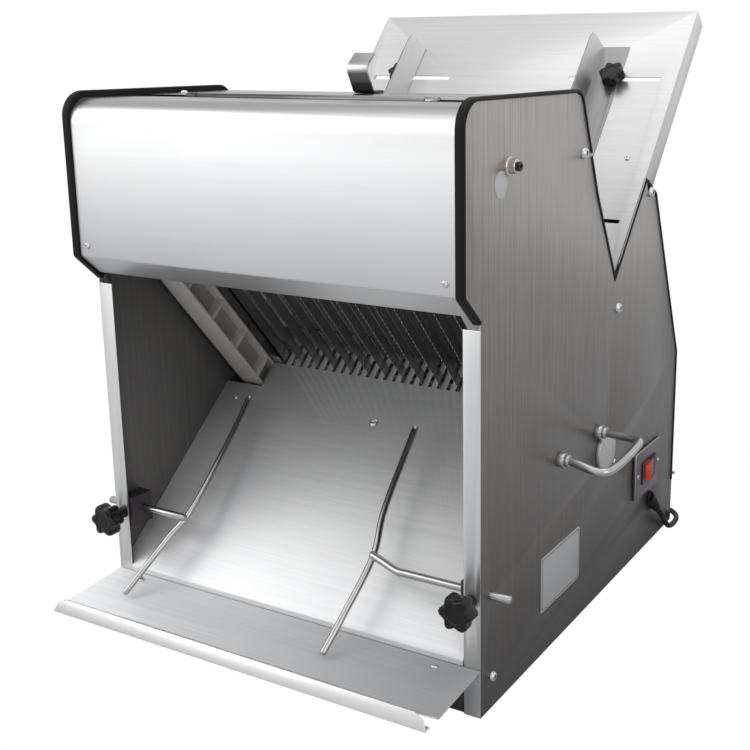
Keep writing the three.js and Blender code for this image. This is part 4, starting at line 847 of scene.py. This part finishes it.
# Outline of the panels' front and top edge, from the foot of the hood to the slanted rear edge, and on
# down the infeed and the rear. The sections are (x, offset outwards)
edgePath = bent([(0, 385), (-29, 412), (-29, 575), (0, 575), (211, 575), (238.3, 512.9)],
                [4, 23.9, 0, 18], 10)
earPath = [(240, 509), (258, 468), (313, 371), (402.5, 470.4), (408, 468), (437.5, 450), (440, 444),
           (536, 235.5), (536, 60)]
trimSection = [(229.5, -1.2), (229.5, 1), (228.8, 1.9), (227.5, 2.2), (221.9, 2.2), (220.8, 1.7),
               (220.5, 0.8), (220.5, -4.5), (226.7, -4.5), (226.7, 0.3), (228.8, 0.3), (228.8, -1.2)]
shadeStripSection = [(229.3, -2.4), (229.3, 0.5), (228.6, 0.9), (226.6, 0.9), (226.2, 0.4), (226.2, -0.2),
                (226.7, 0.15), (228.7, 0.15), (228.8, -2.4)]
litFlangeMask = {"depth": 1.9 * mm, "low": 50 * mm, "high": 379.5 * mm, "sideways": 0.8}


def makePanels():
    size = litFlangeMask
    for side in ("right", "left"):
        mirror = side == "left"
        panel = eased("side_panel_" + side, "panel", 0.4)
        # The panel's front flange faces get the bright steel: painted highlight on the lit front faces of
        # the same sheet
        paintFaces(panel, "flange", lambda centre, normal: centre.y < frontPlane + size["depth"]
                   and size["low"] < centre.z < size["high"] and abs(normal.x) < size["sideways"])
        foldedSheet("edge_rubber_" + side, edgePath, trimSection, "rubber", ["edge_trim_" + side],
                    mirror)
        # Black strip round the ear and down the rear edge. It continues the black edging, and along the V it
        # stands for the dark gap between the ear's edge and the infeed plate: painted shade
        foldedSheet("edge_strip_" + side, earPath, shadeStripSection, "rubber", mirror=mirror)
        eased("frame_plate_" + side, "wall", 0.3)
        eased("guide_post_" + side, "dark", 0.5)


hoodPath = bent([(9, 399.5), (-5.5, 390.5), (-29, 412), (-29, 569.5), (60, 569.5), (60, 559.5)],
                [2, 4, 24, 2.5], 12)
strapPath = bent([(187, 574.3), (169, 574.3), (165.5, 581.5), (157, 597.3), (172, 610.3)], [4, 6, 7])


def makeHood():
    foldedSheet("hood_sheet", hoodPath, roundedSection(-219.9, 219.9, -1.2, 0, 0.5), "hood",
                ["hood_cover"])
    for side in ("right", "left"):
        eased("top_strip_" + side, "roof", 0.4)
    eased("hold_down_flap", "roof", 0.5)
    eased("flap_hinge_pin", "bright", 0.4)
    strap = moulding(strapPath, roundedSection(-12.5, 12.5, 0, 3, 0.9))
    show("strap_bar", strap, "strap", ["strap_handle"], 40, bodyOf("strap_handle"))


def makeInfeed():
    eased("infeed_plate", "infeed", 0.4)
    for side in ("right", "left"):
        guide = eased("loaf_guide_" + side, "guide", 0.4)
        # The guides' faces that don't look sideways get the darker copy of their steel: painted shade
        paintFaces(guide, "guideShade", lambda centre, normal: abs(normal.x) < 0.5)
        eased("guide_nut_" + side, "fastener", 1.2)


makePanels()
makeHood()
makeInfeed()
print("sheets made")


# Lobed black knobs: the lobes grow between two radii. Profiles are (radius, height) from the knob's foot
lobeSet = {"count": 6, "depth": 0.124}


def lobeWave(start, full):
    def wave(angle, radius):
        share = min(max((radius - start) / (full - start), 0), 1)
        return 1 - lobeSet["depth"] * (1 - math.cos(lobeSet["count"] * angle)) * share
    return wave


starSet = {"x": 218, "y": 15.7, "z": 121, "lobes": (8.8, 13.6), "profile": [
    (0, 0), (3.5, 0), (4, 0.6), (4, 16), (6.5, 16), (6.5, 30), (8, 30.7), (14.2, 30.7), (16.5, 31.5),
    (17.6, 33.3), (17.8, 36), (17.8, 43.6), (17.3, 45.8), (16.1, 47.2), (14.4, 47.7), (10, 47.5),
    (8.7, 47.2), (8.3, 46.6), (0, 46.6)]}
guideSet = {"right": 147, "left": -159.5, "up": 275, "out": -6.8, "lobes": (8.3, 13), "profile": [
    (0, 0), (2.2, 0), (2.6, 0.5), (2.6, 8.9), (7, 8.9), (13, 8.9), (15, 9.6), (15.9, 11.2), (16, 13.2),
    (16, 19.2), (15.5, 21.2), (14.2, 22.5), (12.4, 22.9), (8.2, 22.8), (7.1, 22.5), (6.8, 22), (0, 22)]}


def makeKnob(node, size, foot, way):
    work = bmesh.new()
    turned(work, size["profile"], foot, way, 96, lobeWave(*size["lobes"]))
    standIn(node, "_head", work, "knob")


def makeKnobs():
    for side, sign in (("right", 1), ("left", -1)):
        makeKnob("star_knob_" + side, starSet, at(sign * starSet["x"], starSet["y"], starSet["z"]),
                 Vector((0, -1, 0)))
        eased("clamp_block_" + side, "plastic", 1)
        foot = onSlope(infeedSlope, guideSet[side], guideSet["up"], guideSet["out"])
        makeKnob("guide_knob_" + side, guideSet, foot, slopeNormal(infeedSlope))


# Bent guide rods on their cross shafts. The rods' points are shares of the chute's reach and slots, the
# shafts' are places across the machine, and the right shaft's knee joins it to its rod
rodSet = {"reach": 173, "slots": 285, "rise": 29, "radius": 3.4, "shaftRadius": 4, "y": 20, "z": 121,
          "right": [(0.42, 0.76), (0.466, 0.4), (0.524, 0.24), (0.506, 0), (0.486, -0.135)],
          "left": [(-0.885, 0.76), (-0.86, 0.55), (-0.86, 0.21), (-0.9, 0.13), (-1, -0.135)],
          "rightShaft": (248, 190, 150), "leftShaft": (-256, -200, -147.9), "knee": (134.9, 126.3),
          "kneeShares": ((0.6, 0.222), (0.52, 0.236)), "kneeRise": 31}


def rodPoint(share, rise):
    return onSlope(chuteSlope, rodSet["reach"] * share[0], rodSet["slots"] * share[1], rise)


def makeRods():
    size = rodSet
    for side in ("right", "left"):
        work = bmesh.new()
        rod = [rodPoint(share, size["rise"]) for share in size[side]]
        barAlong(work, splinePoints(rod, 12), size["radius"], 24)
        shaft = [at(x, size["y"], size["z"]) for x in size[side + "Shaft"]]
        if side == "right":
            knee = [at(x, size["y"], size["z"]) for x in size["knee"]]
            knee += [rodPoint(share, size["kneeRise"]) for share in size["kneeShares"]]
            shaft += splinePoints(knee, 6)
        barAlong(work, shaft, size["shaftRadius"], 24)
        standIn("guide_rod_" + side, "_bar", work, "bright")


# Side handles with stepped collars, and the shaft's end cap. A leg is (depth, way to the other leg, the
# grip's height at its end)
handleSet = {"x": 228.8, "z": 206, "legs": ((170.5, 1, 200), (270.5, -1, 204.5)), "radius": 4.5,
             "collar": [(0, 0), (8, 0), (8, 6.6), (7.5, 7.3), (6.6, 7.5), (6.6, 11.2), (6.1, 11.9), (0, 12)]}
capSet = {"place": (228.8, 293.85, 177.1),
          "profile": [(0, 0), (24, 0), (24, 3.2), (23.5, 4.1), (22.7, 4.5), (0, 4.5)]}


def makeHandles():
    size = handleSet
    first, last = ([at(size["x"], y, size["z"]), at(240.8, y, size["z"]), at(269.5, y, grip),
                    at(277.9, y + towards * 3.6, grip), at(281.5, y + towards * 12, grip)]
                   for y, towards, grip in size["legs"])
    line = splinePoints(first + last[::-1], 8)
    for side in ("right", "left"):
        work = bmesh.new()
        barAlong(work, line, size["radius"], 28, roundEnds=False)
        for leg in size["legs"]:
            turned(work, size["collar"], at(size["x"], leg[0], size["z"]), right, 40)
        if side == "left":
            bmesh.ops.scale(work, vec=(-1, 1, 1), verts=work.verts)
        standIn("side_handle_" + side, "_bar", work, "bright")
    work = bmesh.new()
    turned(work, capSet["profile"], at(*capSet["place"]), right, 64)
    show("end_cap_disc", work, "cap", ["shaft_end_cap"], 30)


switchFaces = {"plate": 0.75, "rocker": 0.55}  # how far to the right a face looks, where its paint changes


def makeSwitch():
    plate = eased("switch_plate", "switch", 0.9)
    paintFaces(plate, "bright", lambda centre, normal: normal.x < switchFaces["plate"])
    eased("rocker_bezel", "plastic", 0.5)
    rocker = eased("rocker_switch", "red", 0.6)
    # The rocker's faces that look straight out get the darker red: painted shade
    paintFaces(rocker, "redShade", lambda centre, normal: normal.x > switchFaces["rocker"])


makeKnobs()
makeRods()
makeHandles()
makeSwitch()
print("knobs, rods, handles and switch made")


# Blades: thin strips with a scalloped, ground edge, every second one on the same frame
bladeSet = {"pitch": 12, "middle": 15, "half": 0.4, "edgeHalf": 0.12, "width": 13, "low": -15.5,
            "high": 265.6, "scallop": 7, "depth": 1.5, "ground": 2.6, "groundFall": 0.7,
            "bevel": (0.15, 0.2), "steps": 6}
bladeSides = {"front": {"start": 287.9, "first": 0, "count": 16, "bar": 286.3},
              "rear": {"start": 311.3, "first": 1, "count": 15, "bar": 309.7}}
barSet = {"half": 188, "depth": 16, "height": 20, "corner": 1.2, "lows": (-34, 264.14), "screwRise": 10,
          "screwStep": 24, "screwReach": 7, "screwScale": 0.8}
# The pockets' floors get the darker cast copy: painted shade
pocketShadeBand = (180 * mm, 190 * mm)  # where the floors of the rails' pockets lie


# Blade steel with a painted highlight: a bright band along the ground edge, and darker towards the back of
# the blade
def bladePaint(side, start):
    tones = [(0, 250), (0.06, 244), (0.1, 168), (0.5, 176), (1, 150)]
    near = chuteStart + start * mm
    return metal("blade" + side.capitalize() + "Steel", tones, direction=chuteWay, start=near,
                 end=near + bladeSet["width"] * mm, stretch=upright, marks=0.2, rough=(0.18, 0.3))


def bladeStrip(start):
    size = bladeSet
    half = size["half"]
    rings = []
    count = round((size["high"] - size["low"]) / size["scallop"] * size["steps"])
    for index in range(count + 1):
        out = size["low"] + (size["high"] - size["low"]) * index / count
        swell = abs(math.sin(math.pi * (out - size["low"]) / size["scallop"]))
        edge = start + size["depth"] * swell
        ground = edge + size["ground"] - size["groundFall"] * swell
        back = start + size["width"]
        inwards, forwards = size["bevel"]
        section = [(-half, ground), (-size["edgeHalf"], edge), (size["edgeHalf"], edge), (half, ground),
                   (half, back - forwards), (half - inwards, back), (inwards - half, back),
                   (-half, back - forwards)]
        rings.append([onSlope(chuteSlope, x, up, out) for x, up in section])
    return fromBmesh("bladeStrip", shell(rings), 8)


def slopeBar(work, half, up0, up1, out0, out1, corner):
    rings = []
    for x, inset in ((-half, corner), (corner - half, 0), (half - corner, 0), (half, corner)):
        outline = roundedSection(up0 + inset, up1 - inset, out0 + inset, out1 - inset,
                                 max(corner - inset, 0.2), 3)
        rings.append([onSlope(chuteSlope, x, up, out) for up, out in outline])
    skinRings(work, rings)


def makeBars(side, size):
    node = "blade_set_" + side
    near, far = size["bar"], size["bar"] + barSet["depth"]
    work = bmesh.new()
    for low in barSet["lows"]:
        slopeBar(work, barSet["half"], near, far, low, low + barSet["height"], barSet["corner"])
    show(node + "_bars", work, "blade", (), 30, bodyOf(node))
    if side == "rear":
        reach = barSet["screwReach"]
        places = [(onSlope(chuteSlope, index * barSet["screwStep"], far, low + barSet["screwRise"]),
                   Vector(chuteWay), index, barSet["screwScale"])
                  for index in range(-reach, reach + 1) for low in barSet["lows"]]
        setDomes(node + "_screws", screwSet, places, body=bodyOf(node))


def makeBlades():
    for side, size in bladeSides.items():
        node = "blade_set_" + side
        paint = "blade" + side.capitalize()
        paints[paint] = bladePaint(side, size["start"])
        shifts = [(Vector(((size["first"] + 2 * index - bladeSet["middle"]) * bladeSet["pitch"] * mm, 0, 0)),
                   (0, 0, 1), 0, 1) for index in range(size["count"])]
        setOnPlaces(node + "_strips", bladeStrip(size["start"]), shifts, paint, [node], 8,
                    bodyOf(node))
        makeBars(side, size)
        rails = eased("blade_frame_" + side, "cast", 0.7)
        # painted shade on the floors of the rails' pockets
        paintFaces(rails, "pocketShade", lambda centre, normal: pocketShadeBand[0] < abs(centre.x) < pocketShadeBand[1]
                   and abs(normal.x) > 0.9)


makeBlades()
print("blades made")


# The turned-down lower edge of the chute floor, which comes down to the back of the tray
hemSet = {"half": 209.9, "front": -0.95, "back": 0.05, "low": 53.35, "high": 59, "corner": 0.35}
trayLip = 76 * mm  # the tray's raised lip lies this far in front of the body


def makeFront():
    eased("chute_floor", "chute", 0.3)
    size = hemSet
    section = roundedSection(size["front"], size["back"], size["low"], size["high"], size["corner"])
    hem = shell([[at(side * size["half"], *point) for point in section] for side in (-1, 1)])
    show("chute_hem", hem, "chute")
    tray = eased("outfeed_tray", "tray", 0.45)
    # The tray's lip faces get the bright steel: painted highlight on the lit lip
    paintFaces(tray, "flange", lambda centre, normal: centre.y < frontPlane - trayLip)
    eased("crumb_drawer", "dark", 0.4)
    eased("front_beam", "dark", 0.3)
    eased("base_plate", "dark", 0.3)
    for side in ("right", "left"):
        eased("foot_strip_" + side, "rubber", 0.7)


drivePaints = {"crankshaft": ("bright", 0.8), "connecting_rod_front": ("cast", 0.8),
               "connecting_rod_rear": ("cast", 0.8), "shaft_bearing_right": ("cast", 1.5),
               "shaft_bearing_left": ("cast", 1.5), "drive_beam": ("dark", 0.6),
               "crank_pulley": ("cast", 0.5), "motor_pulley": ("cast", 0.5), "drive_belt": ("rubber", 0.5),
               "motor_body": ("motor", 1.2), "motor_shaft": ("bright", 0.6), "rear_cover": ("back", 0.3)}
finSet = {"y": 440, "z": 82, "first": 18, "step": 6, "end": 12,
          "profile": [(53.5, -1), (57.2, -0.7), (57.6, 0), (57.2, 0.7), (53.5, 1)]}


def makeDrive():
    for node, (paint, width) in drivePaints.items():
        eased(node, paint, width)
    lo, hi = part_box("motor_body")
    size = finSet
    axis = at(0, size["y"], size["z"])
    count = math.ceil(((hi.x - lo.x) / mm - size["first"] - size["end"]) / size["step"])
    places = [(Vector((lo.x + (size["first"] + size["step"] * k) * mm, axis.y, axis.z)), (1, 0, 0), 0, 1)
              for k in range(count)]
    setOnPlaces("motor_fins", turnedItem("fin", size["profile"], 48), places, "motor")


# Louvre hoods over the slots of the rear cover
louvreSet = {"columns": (-57, 57), "rows": 6, "middle": 82, "step": 13.5, "rise": 4.5,
             "shape": ((-28, 0.1), (-27, 0.7), (-24, 1), (24, 1), (27, 0.7), (28, 0.1))}


def makeLouvres():
    size = louvreSet
    rings = []
    for x, grow in size["shape"]:
        section = [(0, 2.6), (1.4 * grow, 2.4), (2.6 * grow, 1.2), (2.8 * grow, -1.8 * grow),
                   (2.2 * grow, -1.8 * grow), (0, 1.8)]
        rings.append([Vector((x, tall, out)) * mm for out, tall in section])
    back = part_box("rear_cover")[1].y
    places = []
    for row in range(size["rows"]):
        height = size["middle"] + (row - (size["rows"] - 1) / 2) * size["step"] + size["rise"]
        places += [(Vector((x * mm, back, height * mm)), (0, 1, 0), math.pi, 1) for x in size["columns"]]
    setOnPlaces("louvre_hoods", fromBmesh("hood", shell(rings)), places, "panel")


# Blank data plate with a border line, and blank round label, on the right panel. Rings are (x, inset)
plateSet = {"near": 129.5, "far": 227, "low": 51, "high": 112,
            "rings": ((228.52, 0), (229, 0), (229.2, 0.3)), "corner": 3,
            "lineRings": ((229.15, 2.2), (229.35, 2.3), (229.35, 3.2), (229.15, 3.3)), "lineCorner": 2}
labelSet = {"place": (228.52, 37, 501), "profile": [(0, 0), (12, 0), (12, 0.25), (11.7, 0.4), (0, 0.4)]}


def plateRings(rows, corner):
    size = plateSet
    rings = []
    for x, inset in rows:
        outline = roundedSection(size["near"] + inset, size["far"] - inset, size["low"] + inset,
                                 size["high"] - inset, corner, 5)
        rings.append([at(x, *point) for point in outline])
    return rings


def makeLabels():
    size = plateSet
    show("data_plate", shell(plateRings(size["rings"], size["corner"])), "plate")
    border = shell(plateRings(size["lineRings"], size["lineCorner"]), closed=True)
    show("data_plate_line", border, "line")
    disc = bmesh.new()
    turned(disc, labelSet["profile"], at(*labelSet["place"]), right, 48)
    show("round_label", disc, "label")


makeFront()
makeDrive()
makeLouvres()
makeLabels()
print("tray, drive, louvres and labels made")


# Every piece of the model that stays as it is gets its own surface too
def paintRest():
    kinds = {"brushed": "panel", "bright": "flange", "dark": "dark", "rubber": "rubber",
             "plastic": "plastic", "cast": "cast", "steel": "bright", "red": "red", "paint": "motor"}
    left = [node for node in frame["nodes"] if node not in covered]
    for node in left:
        item = frame["nodes"][node]
        item.data.materials.clear()
        item.data.materials.append(paints[kinds[slotOf(node)]])
    print("carried over:", left)


paintRest()


# Pale floor, soft lights and a white background
def rayShare(tree, kinds):
    path = addNode(tree, "ShaderNodeLightPath")
    share = path.outputs[kinds[0]]
    for kind in kinds[1:]:
        share = math2(tree, "MAXIMUM", share, path.outputs[kind])
    return share


worldSet = {"seen": (1, 1, 1, 1), "seenPower": 1, "lit": (0.94, 0.96, 1, 1), "litPower": 0.8}


def makeWorld():
    world = bpy.data.worlds.new("studioWorld")
    scene.world = world
    world.use_nodes = True
    tree = world.node_tree
    seen = tree.nodes["Background"]
    seen.inputs["Color"].default_value = worldSet["seen"]
    seen.inputs["Strength"].default_value = worldSet["seenPower"]
    lit = addNode(tree, "ShaderNodeBackground", {"Color": worldSet["lit"], "Strength": worldSet["litPower"]})
    share = rayShare(tree, ["Is Camera Ray", "Is Glossy Ray", "Is Transmission Ray"])
    mix = addNode(tree, "ShaderNodeMixShader", {"Fac": share, 1: lit.outputs[0], 2: seen.outputs[0]})
    tree.links.new(mix.outputs[0], tree.nodes["World Output"].inputs["Surface"])


floorSet = {"tone": (0.62, 0.62, 0.62, 1), "grain": 3, "mottle": 0.04, "rough": 0.7, "white": 1,
            "half": 4, "height": -0.5 * mm}


def makeFloor():
    size = floorSet
    made, tree, place = newPaint("paleFloor")
    shader = tree.nodes["Principled BSDF"]
    brush = useGroup(tree, "brush", Vector=place, Fine=size["grain"])
    tint = useGroup(tree, "tint", Color=size["tone"], Marks=brush.outputs["Marks"], Amount=size["mottle"])
    tree.links.new(tint.outputs["Color"], shader.inputs["Base Color"])
    shader.inputs["Roughness"].default_value = size["rough"]
    white = addNode(tree, "ShaderNodeEmission", {"Strength": size["white"]})
    share = rayShare(tree, ["Is Camera Ray", "Is Transmission Ray"])
    mix = addNode(tree, "ShaderNodeMixShader", {"Fac": share, 1: shader.outputs[0], 2: white.outputs[0]})
    tree.links.new(mix.outputs[0], tree.nodes["Material Output"].inputs["Surface"])
    mesh = bpy.data.meshes.new("floor")
    corners = [(x * size["half"], y * size["half"], size["height"])
               for x, y in ((-1, -1), (1, -1), (1, 1), (-1, 1))]
    mesh.from_pydata(corners, [], [(0, 1, 2, 3)])
    mesh.materials.append(made)
    floor = bpy.data.objects.new("floor", mesh)
    scene.collection.objects.link(floor)


lightSet = {"key": {"place": (-1.5, -1.5, 1.5), "size": 1.6, "power": 15},
            "top": {"place": (0.1, -0.1, 2.2), "size": 1.8, "power": 8},
            "side": {"place": (1.8, -0.9, 0.9), "size": 1.3, "power": 5}}
lightAim = Vector((0, 0, 0.3))


def makeLights():
    for name, size in lightSet.items():
        data = bpy.data.lights.new(name + "Light", "AREA")
        data.shape = "SQUARE"
        data.size = size["size"]
        data.energy = size["power"]
        lamp = bpy.data.objects.new(name + "Light", data)
        scene.collection.objects.link(lamp)
        place = Vector(size["place"])
        turn = (lightAim - place).to_track_quat("-Z", "Y").to_matrix().to_4x4()
        lamp.matrix_world = Matrix.Translation(place) @ turn


makeWorld()
makeFloor()
makeLights()
scene.view_settings.view_transform = "Standard"
scene.view_settings.look = "None"

print("scene ready")
